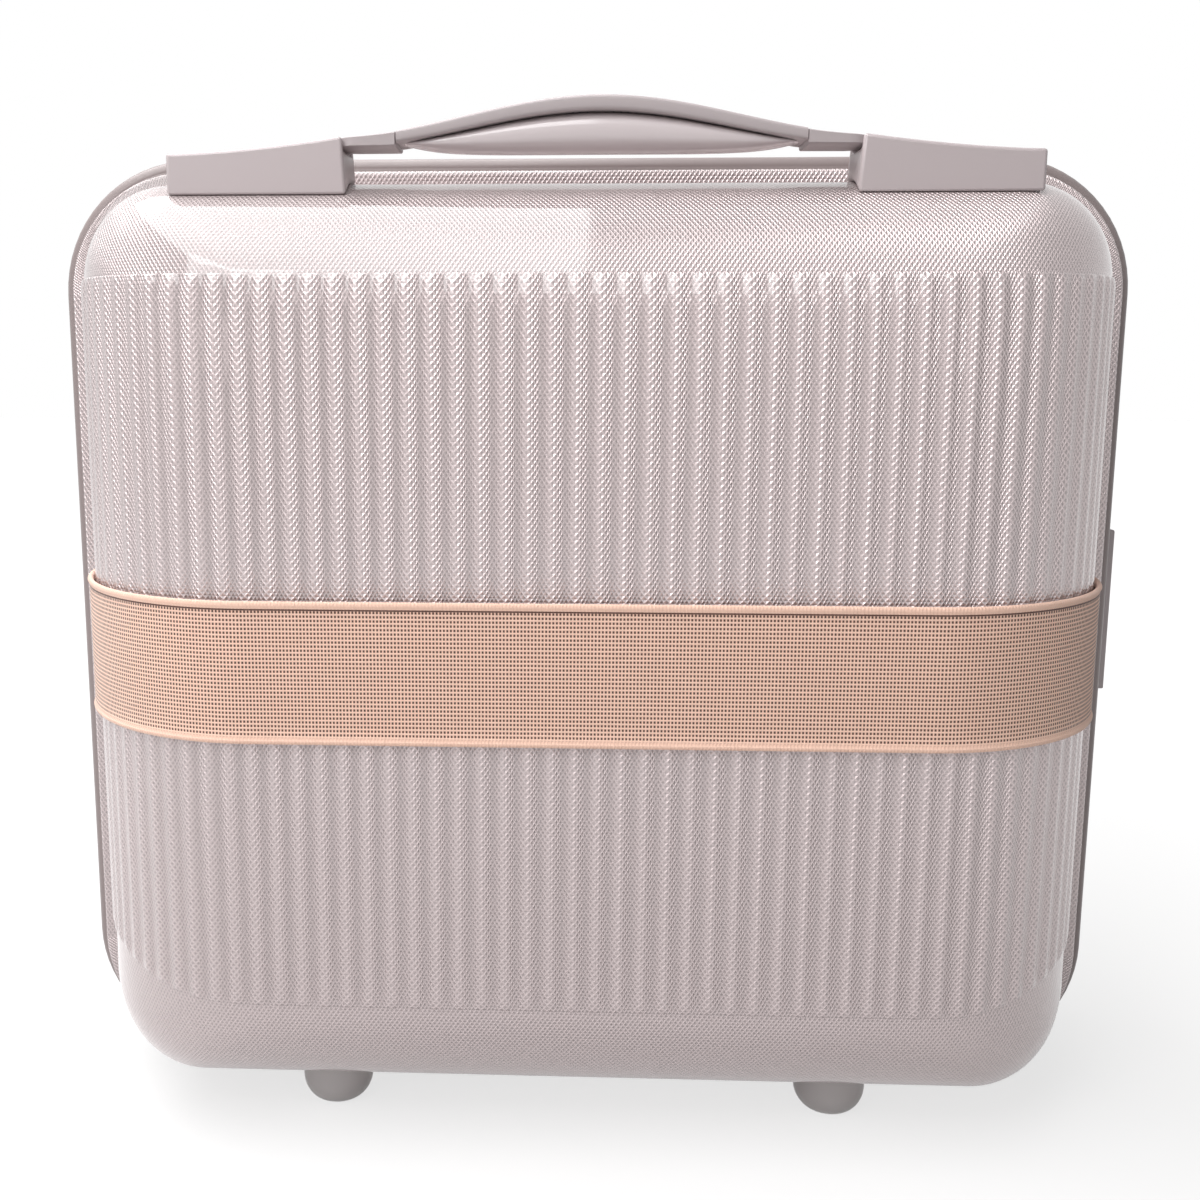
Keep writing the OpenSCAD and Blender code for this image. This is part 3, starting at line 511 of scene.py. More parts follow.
def knitted_elastic(settings):
    """Open elastic webbing, knitted: covered rubber rows run along the band and
    pale loops cross them, with a hole between each pair, painted deep brown as the
    shade seen through it. Near its edges the knit is closed, and the rolled edges
    are smooth and paler, with a line of painted shade just inside the upper one,
    under its roll. The loops are drawn 0.95 mm apart, not 0.66, to show."""
    open_to, closed_from = BAND_H / 2 - 2.2, BAND_H / 2 - 1.9
    # where the line of painted shade under the upper rolled edge lies, and its half width
    roll_shade_at, roll_shade_half = BAND_H / 2 - 2.3, 0.22
    material, tree, shader = new_material("knitted_elastic_webbing", settings.band_colour, 0.8,
                                          **{"Sheen Weight": 0.3, "Sheen Roughness": 0.45})
    u, v = surface_parts(tree)
    loops, rows = saw(tree, u, settings.weave_wide), saw(tree, v, settings.weave_high)
    deep = add(tree, "ShaderNodeMath", {"operation": "MINIMUM"}, {0: loops, 1: rows})
    hole = add(tree, "ShaderNodeMapRange", {"From Min": 0.34, "From Max": 0.54}, {"Value": deep.outputs[0]})
    from_middle = add(tree, "ShaderNodeMath", {"operation": "ABSOLUTE"}, {0: v})
    open_part = add(tree, "ShaderNodeMapRange",
                    {"From Min": open_to, "From Max": closed_from, "To Min": 1.0, "To Max": 0.0},
                    {"Value": from_middle.outputs[0]})
    holes = add(tree, "ShaderNodeMath", {"operation": "MULTIPLY"}, {0: hole.outputs[0], 1: open_part.outputs[0]})
    # painted shade: a thin line just under the upper rolled edge, where the roll shades the knit
    seam = add(tree, "ShaderNodeMath", {"operation": "COMPARE", 1: roll_shade_at, 2: roll_shade_half}, {0: v})
    painted_shade_mask = add(tree, "ShaderNodeMath", {"operation": "MAXIMUM"}, {0: holes.outputs[0], 1: seam.outputs[0]})
    row_shade = add(tree, "ShaderNodeMapRange", {"To Max": 0.35}, {"Value": rows})
    base = add(tree, "ShaderNodeMix", {"data_type": "RGBA"}, {0: row_shade.outputs[0]})
    base.inputs[6].default_value = settings.band_colour
    browner = (0.86, 0.76, 0.7)
    base.inputs[7].default_value = tuple(c * f for c, f in zip(settings.band_colour[:3], browner)) + (1.0,)
    # painted shade: the holes and the line under the upper roll take a deep brown, the shade seen through and under
    # the knit
    mix = add(tree, "ShaderNodeMix", {"data_type": "RGBA"}, {0: painted_shade_mask.outputs[0], 6: base.outputs[2]})
    mix.inputs[7].default_value = linear("5c3d33")
    tree.links.new(mix.outputs[2], shader.inputs["Base Color"])
    height = add(tree, "ShaderNodeMath", {"operation": "SUBTRACT", 0: 1.0}, {1: deep.outputs[0]})
    bump(tree, shader, height.outputs[0], 0.2)
    return material


def metal(name, code, roughness):
    """Plated or bare metal with faint tumbling marks."""
    grain_mm = 0.25
    material, tree, shader = new_material(name, linear(code), roughness, Metallic=1.0)
    coords = add(tree, "ShaderNodeTexCoord")
    noise = add(tree, "ShaderNodeTexNoise", {"Scale": 1.0 / (grain_mm * MM), "Detail": 4.0},
                {"Vector": coords.outputs["Object"]})
    spread = add(tree, "ShaderNodeMapRange", {"To Min": roughness * 0.7, "To Max": roughness * 1.4},
                 {"Value": noise.outputs[0]})
    tree.links.new(spread.outputs[0], shader.inputs["Roughness"])
    bump(tree, shader, noise.outputs[0], 0.004)
    return material


# ------------------------------------------------------------ moulded halves

def side_x(t, off=0.0):
    """Half width at depth t behind the flat face: the flat, then a circle."""
    return FLAT_W + np.sqrt(np.maximum(0, (SIDE_ROUND - off) ** 2 - (SIDE_ROUND - np.minimum(t, SIDE_ROUND)) ** 2))


def end_z(t, off=0.0):
    """Half height at depth t: the flat, a quarter circle, then the drafted wall."""
    arc = FLAT_H + np.sqrt(np.maximum(0, (END_ROUND - off) ** 2 - (END_ROUND - np.minimum(t, END_ROUND)) ** 2))
    return arc + np.maximum(0, t - END_ROUND) * DRAFT


def corner_r(t, off=0.0):
    """Corner radius of the front outline at depth t."""
    return np.maximum(2.0, FACE_CORNER + (SEAM_CORNER - FACE_CORNER) * np.minimum(1, t / END_ROUND) - off)


def outline(cx, cz, rx, rz):
    """Round-cornered outlines, one to a row, anticlockwise from the right side's
    upper end: an arc of radii rx and rz about each corner's centre, and straight
    runs between the arcs."""
    steps, runs = 14, 8
    cx, cz, rx, rz = (np.atleast_1d(np.asarray(a, float))[:, None] for a in (cx, cz, rx, rz))
    parts = []
    for q, (sx, sz) in enumerate(((1, 1), (-1, 1), (-1, -1), (1, -1))):
        a = np.radians(90 * q + np.linspace(0, 90, steps + 1))[None]
        parts.append((sx * cx + rx * np.cos(a), sz * cz + rz * np.sin(a)))
    xs, zs = [], []
    k = np.linspace(0, 1, runs + 1)[None, 1:-1]
    for q in range(4):
        x, z = parts[q]
        x2, z2 = parts[(q + 1) % 4]
        xs += [x, x[:, -1:] * (1 - k) + x2[:, :1] * k]
        zs += [z, z[:, -1:] * (1 - k) + z2[:, :1] * k]
    return np.hstack(xs), np.hstack(zs)


def rings(width, height, corner, depth, reach_u, reach_v):
    """Rows of an outline surface: half sizes, corner radius and distance from
    the seam give the places, and the surface reaches give the uv."""
    width, height, corner = map(np.asarray, (width, height, corner))
    x, z = outline(width - corner, height - corner, corner, corner)
    u, v = outline(width - corner, height - corner, reach_u - width + corner, reach_v - height + corner)
    y = np.repeat(-np.asarray(depth, float)[:, None], x.shape[1], axis=1)
    return np.stack([x, y, z + MID_Z], axis=-1), np.stack([u, v], axis=-1)


def reach(t):
    """How far the film runs from the face's middle to depth t, sideways along
    the side circle and upwards along the end circle."""
    phi = np.arccos(np.clip((SIDE_ROUND - t) / SIDE_ROUND, 0, 1))
    psi = np.arccos(np.clip((END_ROUND - t) / END_ROUND, 0, 1))
    return FLAT_W + SIDE_ROUND * phi, FLAT_H + END_ROUND * psi + np.maximum(0, t - END_ROUND)


def wall_rings(off, to, steps=22, runs=7):
    """Rings of one skin of the wall, from the flat face to depth to."""
    t = np.concatenate([off + (END_ROUND - off) * (1 - np.cos(np.linspace(0, np.pi / 2, steps))),
                        np.linspace(END_ROUND, to, runs)[1:]])
    u, v = reach(t - off)
    return side_x(t, off), end_z(t, off), corner_r(t, off), HALF_DEPTH - t, u, v


def face_rings(off):
    """Rings of the flat face, growing from its middle to its outline."""
    k = np.array([0.02, 0.3, 0.6, 0.85])
    h = np.full(4, HALF_DEPTH - off)
    return k * FLAT_W, k * FLAT_H, k * FACE_CORNER, h, k * FLAT_W, k * FLAT_H


def backwards(group):
    """Rings in the order in which an inner skin runs back to the face's middle."""
    return [a[::-1] for a in group]


def stacked(*groups):
    """Groups of rings, one after the other."""
    return [np.concatenate([np.atleast_1d(g[i]) for g in groups]) for i in range(6)]


def rim_rings(inset, depth, reach_from):
    """Rings that follow the rim's outline at the given insets."""
    inset, depth = np.asarray(inset, float), np.asarray(depth, float)
    run = np.concatenate([[0], np.cumsum(np.hypot(np.diff(inset), np.diff(depth)))])
    return (RIM_W - inset, RIM_H - inset, RIM_CORNER - inset, depth, reach_from[0] + run, reach_from[1] + run)


def shell_skin():
    """Closed wall of one half: face, outer skin, lip, and back along the inner skin."""
    outer = wall_rings(0.0, SHELL_L - WALL - 0.9)
    # the film's emboss goes on across the fold between skin and lip
    fold = 3
    ends = (outer[4][-1] + fold, outer[5][-1] + fold)
    top = LIP_FRONT + WALL
    ledge = (SIDE_STEP + END_STEP) / 2
    front = BEAD_OFF + BEAD_R + SEAT_GAP
    # from under the skin's foot over the lip's rounded edge, back to the seat of bead and tape
    lip = rim_rings(
        [ledge - 0.6, LIP_IN + 1.0, LIP_IN + 0.3, LIP_IN, LIP_IN, LIP_IN + 0.4, SEAT_IN - 0.3, SEAT_IN, SEAT_IN],
        [top, top, top - 0.3, top - 1.0, front + 0.4, front, front, front + 0.3, LIP_FRONT], ends)
    parts = stacked(face_rings(0.0), outer, lip, backwards(wall_rings(WALL, SHELL_L)), backwards(face_rings(WALL)))
    return solid(*rings(*parts))


def plan_point(s, out):
    """Point of the plan outline at run s from the middle, moved out: the flat
    face, then the side circle. Returns x and distance from the seam."""
    a = np.maximum(0, np.abs(s) - FLAT_W) / SIDE_ROUND
    x = np.where(np.abs(s) <= FLAT_W, s, np.sign(s) * (FLAT_W + (SIDE_ROUND + out) * np.sin(a)))
    h = HALF_DEPTH - SIDE_ROUND + (SIDE_ROUND + out) * np.cos(a)
    return x, h


def sink(s, z):
    """How far the skin lies behind the plan outline at (s, z), by halving: a
    point is outside while it is beyond the outline of the section at its depth."""
    low, high = np.zeros_like(s), np.full_like(s, 14.0)
    for _ in range(22):
        mid = (low + high) / 2
        x, h = plan_point(s, -mid)
        t = HALF_DEPTH - h
        w, e, r = side_x(t), end_z(t), corner_r(t)
        dx, dz = np.maximum(0, np.abs(x) - (w - r)), np.maximum(0, np.abs(z) - (e - r))
        outside = (np.hypot(dx, dz) > r + 1e-6) | (np.abs(x) > w + 1e-6) | (np.abs(z) > e + 1e-6)
        low, high = np.where(outside, mid, low), np.where(outside, high, mid)
    return high


def shell_ribs(rise):
    """Rib band of one half, laid on the skin: across its pitch a rib is a squared
    cosine, so one flows into the next, and its ends are domed. Outside the ribs
    the sheet dips under the skin. The film is drawn wider on the crests than in
    the valleys, which bends the lines of its emboss."""
    per, margin, sheet, stretch = 12, 0.8, 1.2, 0.35
    n = RIDGE_COUNT * per
    s = (np.arange(n + 1) / per - RIDGE_COUNT / 2) * RIDGE_PITCH
    u = 2 * ((np.arange(n + 1) % per) / per) - 1
    dome = RIDGE_PITCH * 0.5
    ends = np.concatenate([[-margin], dome * (1 - np.cos(np.linspace(0, np.pi / 2, 10)))])
    z = np.concatenate([-RIDGE_DOWN + ends, np.linspace(-RIDGE_DOWN + dome + 6, RIDGE_UP - dome - 6, 9),
                        (RIDGE_UP - ends)[::-1]])
    S, Z = np.meshgrid(s, z)
    # the lower ends climb towards the sides, by a smooth step
    k = np.clip((np.abs(S) - CLIMB_START) / CLIMB_RUN, 0, 1)
    climb = CLIMB * k * k * (3 - 2 * k)
    Z = Z + climb * (RIDGE_UP - Z) / (RIDGE_UP + RIDGE_DOWN)
    low = -RIDGE_DOWN + climb
    U = np.repeat(u[None], len(z), axis=0)
    near = np.minimum(Z - low, RIDGE_UP - Z)
    e = 1 - near / dome
    h = rise * np.cos(np.pi / 2 * U) ** 2 * np.sqrt(np.clip(1 - np.maximum(e, 0) ** 2, 0, 1)) + RIB_CLEAR
    h = np.where(e > 1.0, DIP_END, h)
    h = np.where(np.abs(S) > s[-1] - 0.01, DIP_SIDE, h)
    depth = sink(S, Z)
    x, dist = plan_point(S, h - depth)
    points = np.stack([x, -dist, Z + MID_Z], axis=-1)
    xb, db = plan_point(S, -depth - sheet)
    back = np.stack([xb, -db, Z + MID_Z], axis=-1)
    rows, cols = points.shape[:2]
    front_faces = quads(rows, cols)
    # the back is a sheet inside the wall, joined to the front round its edge
    count = rows * cols
    back_faces = quads(rows, cols, base=count)[:, ::-1]
    c, r = np.arange(cols - 1), np.arange(rows - 1) * cols
    top, last = (rows - 1) * cols, cols - 1
    edges = ((c + 1, c), (top + c, top + c + 1), (r, r + cols), (r + cols + last, r + last))
    rim = np.vstack([np.stack([a, b, count + b, count + a], axis=-1) for a, b in edges])
    faces = np.vstack([front_faces, back_faces, rim]).tolist()
    drawn = stretch * RIDGE_PITCH / (2 * np.pi) * np.sin(2 * np.pi * S / RIDGE_PITCH)
    uv = np.stack([S + drawn, Z], axis=-1).reshape(-1, 2)
    return np.vstack([points.reshape(-1, 3), back.reshape(-1, 3)]), faces, np.vstack([uv, uv])


# -------------------------------------------------------------- rim and zip

def rim_path(whole, spacing, arc_steps):
    """Samples along the rim: corner centre, direction angle and run. The path
    starts at the lower right corner and goes up, round the top and down the
    left; the whole rim closes along the bottom."""
    run_w, run_h, quarter = RIM_W - RIM_CORNER, RIM_H - RIM_CORNER, RIM_CORNER * math.radians(90)
    sides = ((run_w, run_h, 0, 2 * run_h), (-run_w, run_h, 90, 2 * run_w),
             (-run_w, -run_h, 180, 2 * run_h), (run_w, -run_h, 270, 2 * run_w))
    centres, angles, runs, at, start = [], [], [], 0.0, (run_w, -run_h)
    for q, (cx, cz, turn, length) in enumerate(sides if whole else sides[:3]):
        n = max(2, int(length / spacing))
        for k in range(n + 1):
            f = k / n
            centres.append((start[0] * (1 - f) + cx * f, start[1] * (1 - f) + cz * f))
            angles.append(turn)
            runs.append(at + length * f)
        at += length
        if whole or q < 2:
            for k in range(1, arc_steps):
                centres.append((cx, cz))
                angles.append(turn + 90 * k / arc_steps)
                runs.append(at + quarter * k / arc_steps)
            at += quarter
        start = (cx, cz)
    return np.array(centres), np.radians(angles), np.array(runs)


def rim_sweep(profile):
    """A closed profile of (inset, distance from the seam) points carried round
    the whole rim: each point lies RIM_CORNER less its inset from the path's
    centre. A profile that turns clockwise, which the sign of its area tells, is
    turned round, so that its faces point outwards."""
    profile = np.asarray(profile, float)
    following = np.roll(profile, -1, axis=0)
    if np.sum(profile[:, 0] * following[:, 1] - following[:, 0] * profile[:, 1]) < 0:
        profile = profile[::-1]
    centres, angles, runs = rim_path(True, 8.0, 16)
    radius = RIM_CORNER - profile[:, 0]
    x = centres[:, :1] + radius[None] * np.cos(angles)[:, None]
    z = centres[:, 1:] + radius[None] * np.sin(angles)[:, None]
    y = np.repeat(-profile[None, :, 1], len(angles), axis=0)
    points = np.stack([x, y, z + MID_Z], axis=-1)
    around = np.concatenate([[0], np.cumsum(np.hypot(*np.diff(profile, axis=0).T))])
    uv = np.stack(np.meshgrid(runs, around, indexing="ij"), axis=-1)
    faces = quads(*points.shape[:2], close_rows=True, close_cols=True).tolist()
    return points.reshape(-1, 3), faces, uv.reshape(-1, 2)


def box_profile(i0, i1, h0, h1, r):
    """Rectangle of insets and distances with rounded corners of three points."""
    n = 3
    a = np.radians(np.concatenate([90 * q + np.linspace(0, 90, n) for q in range(4)]))
    cx = np.repeat([i1 - r, i0 + r, i0 + r, i1 - r], n)
    cy = np.repeat([h1 - r, h1 - r, h0 + r, h0 + r], n)
    return np.stack([cx + r * np.cos(a), cy + r * np.sin(a)], axis=-1)


def bead_parts():
    """The bead: a round cord with the flat foot that is sewn to the lip."""
    a = np.linspace(0, 2 * np.pi, 29)[:-1]
    cord = np.stack([BEAD_R + BEAD_R * np.cos(a), BEAD_OFF + BEAD_R * np.sin(a)], axis=-1)
    foot = box_profile(BEAD_R, SEAT_IN, BEAD_OFF - BEAD_R + 0.6, BEAD_OFF + BEAD_R, 0.3)
    return joined(rim_sweep(cord), rim_sweep(foot))


def tape_parts():
    """The woven tape behind the teeth, a flat strip with rounded edges."""
    return rim_sweep(box_profile(TAPE_IN, TAPE_IN + TAPE_T, 1.3, LIP_FRONT - SEAT_GAP, 0.2))


def coil_parts(pitch, phase):
    """Coil teeth: each is a bent filament that goes over the tape's edge. Its
    line in the rim's section is a U, and each tooth is a tube round that line."""
    centres, angles, runs = rim_path(False, 2.0, 40)
    at = np.arange(pitch * (0.5 + phase), runs[-1] - pitch, pitch)
    cx, cz = np.interp(at, runs, centres[:, 0]), np.interp(at, runs, centres[:, 1])
    a = np.interp(at, runs, angles)
    # half width and depth of one leg's points, from its end on the tape to the nose; the other leg mirrors it
    leg = ((0.95, 2.35), (0.95, 1.3), (0.7, 0.62))
    nose = 0.34
    line = np.array([[TAPE_MID - w, d] for w, d in leg] + [[TAPE_MID, nose]]
                    + [[TAPE_MID + w, d] for w, d in reversed(leg)])
    tangent = np.gradient(line, axis=0)
    tangent /= np.linalg.norm(tangent, axis=1)[:, None]
    normal = np.stack([-tangent[:, 1], tangent[:, 0]], axis=-1)
    w = np.radians(np.arange(6) * 60)
    thick, wide, head = 0.27, pitch * 0.3, 1.35
    ring = line[:, None] + normal[:, None] * (thick * np.cos(w))[None, :, None]
    along = wide * np.sin(w)[None] * np.where(line[:, 1] == nose, head, 1)[:, None]
    radius = RIM_CORNER - ring[..., 0]
    ux, uz = np.cos(a), np.sin(a)
    x = cx[:, None, None] + radius[None] * ux[:, None, None] - along[None] * uz[:, None, None]
    z = cz[:, None, None] + radius[None] * uz[:, None, None] + along[None] * ux[:, None, None]
    y = np.broadcast_to(-ring[None, ..., 1], x.shape)
    points = np.stack([x, y, z + MID_Z], axis=-1)
    return many(points)


# ------------------------------------------------------------- luggage band

def band_parts():
    """The luggage band: its section, thicker at both rolled edges, carried along
    the plan outline over the ribs' crests."""
    t, edge, half = BAND_T, ROLL_WIDE, BAND_H / 2
    limit = HALF_DEPTH - LIP_FRONT - WALL - SEAT_GAP
    s_end = FLAT_W + SIDE_ROUND * math.acos((SIDE_ROUND - limit) / (SIDE_ROUND + BAND_BASE + t))
    s = np.concatenate([np.linspace(-s_end, -FLAT_W, 60), np.linspace(-FLAT_W, FLAT_W, 81)[1:-1],
                        np.linspace(FLAT_W, s_end, 60)])
    a = np.linspace(-90, 90, 9)
    thick = (t + ROLL_RISE) / 2
    rolled = np.stack([thick + thick * np.sin(np.radians(a)),
                       half - edge / 2 + edge / 2 * np.cos(np.radians(a))], axis=-1)
    z_mid = np.linspace(half - edge - 0.2, -(half - edge - 0.2), 13)
    front = np.stack([np.full(13, t), z_mid], axis=-1)
    lower = rolled[::-1] * np.array([1, -1])
    back = np.stack([np.zeros(5), np.linspace(-(half - edge), half - edge, 5)], axis=-1)
    section = np.vstack([rolled, front, lower, back])
    out, z = section[:, 0], section[:, 1]
    S, O = np.meshgrid(s, BAND_BASE + out, indexing="ij")
    x, h = plan_point(S, O)
    Z = np.repeat(z[None], len(s), axis=0)
    points = np.stack([x, -h, Z + MID_Z], axis=-1)
    uv = np.stack([S, Z], axis=-1)
    return solid(points, uv)


# -------------------------------------------------------------- carry handle

def strap_top(x):
    """Upper line of the strap above the ground: one cosine bell over the caps' level."""
    u = np.minimum(1, np.abs(x) / (CAP_IN + 5))
    return TOP_Z + CAP_HIGH + STRAP_RISE * (1 + np.cos(np.pi * u)) / 2


def strap_under(x):
    """Lower line: the strap thins by a fifth towards its ends."""
    return strap_top(x) - STRAP_T * (1 - 0.2 * np.minimum(1, np.abs(x) / STRAP_HALF) ** 2)


def handle_sections(x, y, z):
    """Sections of the handle: x to a row, y and z to a point, moved to its place."""
    x = np.broadcast_to(x[:, None], z.shape)
    y = np.broadcast_to(y, z.shape)
    return np.stack([x + HANDLE_X, y + HANDLE_Y, z], axis=-1)


def strap_parts():
    """The strap: a flat belt with rounded edges between its upper and lower line."""
    x = np.linspace(-STRAP_HALF, STRAP_HALF, 61)
    y, share = rounded(STRAP_W, STRAP_T, 1.0, 5)
    share = share / STRAP_T + 0.5
    low, high = strap_under(x)[:, None], strap_top(x)[:, None]
    return solid(handle_sections(x, y[None], low + (high - low) * share[None]))


def tongue_parts(side):
    """One end of the strap: thicker and level below where it leaves the strap,
    then thinner as it dips into the cap's mouth."""
    x = np.concatenate([[STRAP_HALF + 0.12, STRAP_HALF + 0.4], np.linspace(STRAP_HALF + 1.2, CAP_IN + 2, 12),
                        np.linspace(CAP_IN + 3.5, MOUTH, 7), [MOUTH + 8, MOUTH + 18]])
    dip, thin = TOP_Z + 7.35, 3.0
    level = strap_top(np.array(CAP_IN)) - 2.8
    slope = np.clip((x - CAP_IN - 2) / (MOUTH - CAP_IN - 2), 0, 1)
    ease = slope ** 2 * (3 - 2 * slope)
    high = strap_top(x) * (1 - ease) + dip * ease
    low = level * (1 - ease) + (dip - thin) * ease
    shrink = np.where(x < STRAP_HALF + 0.2, 0.35, 0.0)
    high, low = high - shrink, low + shrink
    half = (STRAP_W - 0.4) / 2 - shrink - 1.4 * np.clip((x - CAP_IN + 2) / 3, 0, 1)
    section = 4.0
    y, share = rounded(2.0, section, 0.55, 5)
    z = low[:, None] + (high - low)[:, None] * (share / section + 0.5)[None]
    return solid(handle_sections(side * x, y[None] * half[:, None], z))


def grip_parts():
    """The grip under the strap: each section is a power curve of exponent 2.6 above
    and 2.4 below, and its depth and width close in at both tips."""
    x = GRIP_HALF * np.sin(np.linspace(-np.pi / 2, np.pi / 2, 73))
    share = np.abs(x) / GRIP_HALF
    high = strap_under(x) + 0.25
    low = GRIP_LOW + 2.1 * share ** 5
    tip = np.maximum((1 - share ** 14) ** 0.5, 0.12)
    half = (STRAP_W / 2 - 0.9 - 1.6 * share ** 4) * tip
    low = high - (high - low) * tip
    a = np.linspace(0, 2 * np.pi, 49)[:-1]
    power = np.where(np.sin(a) > 0, 2.6, 2.4)
    y = np.sign(np.cos(a)) * np.abs(np.cos(a)) ** (2 / power)
    v = np.sign(np.sin(a)) * np.abs(np.sin(a)) ** (2 / power)
    z = low[:, None] + (high - low)[:, None] * (0.5 + 0.5 * v)[None]
    return solid(handle_sections(x, y[None] * half[:, None], z))


# ---------------------------------------------------- feet, spring and digits

def foot_parts(side):
    """Two domed feet, each a profile turned about its upright axis: a flat, a
    quarter ellipse up to the full radius, a slight flare, and a top that follows
    the drafted wall it is screwed to."""
    a = np.linspace(0, np.pi / 2, 13)
    flare = FOOT_R + 0.2
    radius = np.concatenate([[0.05, FOOT_FLAT * 0.6], FOOT_FLAT + (FOOT_R - FOOT_FLAT) * np.sin(a), [flare, flare]])
    height = np.concatenate([[0.0, 0.0], FOOT_DOME * (1 - np.cos(a)), [12.0, 15.0]])
    turn = np.linspace(0, 2 * np.pi, 49)[None, :-1]
    feet = []
    for x in (-FOOT_X, FOOT_X):
        grid = np.stack([x + radius[:, None] * np.cos(turn), side * FOOT_Y + radius[:, None] * np.sin(turn),
                         np.broadcast_to(height[:, None], (len(radius), 48))], axis=-1)
        t = HALF_DEPTH - np.abs(grid[-1, :, 1])
        grid[-1, :, 2] = MID_Z - end_z(t) + 0.3
        feet.append(solid(grid))
    return joined(*feet)


def spring_parts():
    """Button spring: a round wire carried along a helix, its angle and its height
    rising together."""
    low, high = (corner - np.array([CENTRE_X, SEAM_Y, 0.0]) for corner in node_box_mm("button_spring"))
    wire, turns = 0.2, 4.5
    radius = (high[0] - low[0]) / 2 - wire
    t = np.linspace(0, 1, 73)[:, None]
    a = 2 * np.pi * turns * t
    b = np.radians(np.arange(8) * 45.0)[None]
    reach_out = radius + wire * np.cos(b)
    middle = (low + high) / 2
    level = low[2] + wire + (high[2] - low[2] - 2 * wire) * t
    return solid(np.stack([middle[0] + reach_out * np.cos(a), middle[1] + reach_out * np.sin(a),
                           level + wire * np.sin(b)], axis=-1))


def dial_digits(name, z, material, body):
    """Ten printed digits round a dial: flat type wrapped on the cylinder, its
    reading line along the dial's axis, each between two of the dial's grooves."""
    type_high, proud, each = 3.6, 0.04, 36
    points, faces, base = [], [], 0
    for digit in range(10):
        curve = bpy.data.curves.new("digit", "FONT")
        curve.body = str(digit)
        curve.size = type_high
        curve.align_x, curve.align_y = "CENTER", "CENTER"
        obj = bpy.data.objects.new("digit", curve)
        bpy.context.scene.collection.objects.link(obj)
        mesh = bpy.data.meshes.new_from_object(obj.evaluated_get(bpy.context.evaluated_depsgraph_get()))
        work = bmesh.new()
        work.from_mesh(mesh)
        bmesh.ops.triangulate(work, faces=work.faces)
        bmesh.ops.subdivide_edges(work, edges=work.edges, cuts=1)
        work.to_mesh(mesh)
        work.free()
        flat = np.empty(len(mesh.vertices) * 3)
        mesh.vertices.foreach_get("co", flat)
        flat = flat.reshape(-1, 3)
        a = math.radians(each * digit) + flat[:, 1] / DIAL_R
        r = DIAL_R + proud
        points.append(np.stack([DIAL_X + r * np.cos(a), LOCK_CY + r * np.sin(a), z + flat[:, 0]], axis=-1))
        faces += [[i + base for i in polygon.vertices] for polygon in mesh.polygons]
        base += len(flat)
        bpy.data.objects.remove(obj)
        bpy.data.curves.remove(curve)
        bpy.data.meshes.remove(mesh)
    piece = put_mesh(name, np.vstack(points), faces, material)
    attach(piece, body)
    return piece


# -------------------------------------------------------------------- inside

def lining_parts():
    """Sewn lining of one half: its outer and inner skin follow the wall, and a
    binding is rolled round the mouth. Where the cloth is only glued here and
    there it lifts in soft waves: a product of three sines, 8 to 12 cm long."""
    outer = wall_rings(WALL + SEAT_GAP, LINING_END - 2.2, 18, 6)
    inner = wall_rings(DECK, LINING_END - 2.2, 18, 6)
    t = LINING_END - np.array([1.8, 1.0, 0.2, 0.0, 0.2, 1.0, 1.8])
    off = WALL + np.array([0.2, 0.15, 0.4, 1.2, 2.0, 2.4, 2.2])
    u, v = reach(t - off)
    binding = (side_x(t, off), end_z(t, off), corner_r(t, off), HALF_DEPTH - t, u, v)
    parts = stacked(face_rings(WALL + SEAT_GAP), outer, binding, backwards(inner), backwards(face_rings(DECK)))
    points, uv = rings(*parts)
    inside = slice(len(parts[0]) - len(inner[0]) - 4, len(parts[0]))
    x, y, z = (points[inside, :, k] for k in range(3))
    wave = np.sin(x / 13 + 0.7 * np.sin(z / 17)) * np.sin(z / 15 + 1.3) * np.sin(y / 19 + 0.4)
    wave_high = 0.35
    pull = wave_high * (1 + wave) / 2
    points[inside, :, 0] -= pull * x / 150
    points[inside, :, 1] += pull * 0.8
    points[inside, :, 2] -= pull * (z - MID_Z) / 130
    return solid(points, uv)


def ribbon(path, width_way, width, thick, out_way):
    """Flat band with rounded edges along a path: width_way and out_way are unit
    vectors, one to a row or the same all along. uv is run and width."""
    a, b = rounded(width, thick, min(thick * 0.45, 0.6), 4)
    width_way, out_way = (np.broadcast_to(np.asarray(w, float), path.shape) for w in (width_way, out_way))
    grid = path[:, None] + a[None, :, None] * width_way[:, None] + b[None, :, None] * out_way[:, None]
    run = np.concatenate([[0], np.cumsum(np.linalg.norm(np.diff(path, axis=0), axis=1))])
    uv = np.stack(np.broadcast_arrays(run[:, None], a[None]), axis=-1)
    return solid(grid, uv)


def packing_line(k):
    """Where packing strap k runs: half its length, the unit vectors along and
    across it, and its middle. It goes from corner to corner of the lining."""
    t = HALF_DEPTH + PACK_Y
    corner = float(corner_r(t, DECK))
    cx, cz = float(side_x(t, DECK)) - corner, float(end_z(t, DECK)) - corner
    reach_to = math.hypot(cx, cz) + math.sqrt(corner ** 2 - (PACK_W / 2) ** 2) - 3 * SEAT_GAP
    slope = (1 - 2 * k) * math.atan2(cz, cx)
    way = np.array([math.cos(slope), 0, -math.sin(slope)])
    side = np.array([math.sin(slope), 0, math.cos(slope)])
    return reach_to, way, side, np.array([0, PACK_Y + k * (PACK_T + SEAT_GAP), MID_Z])


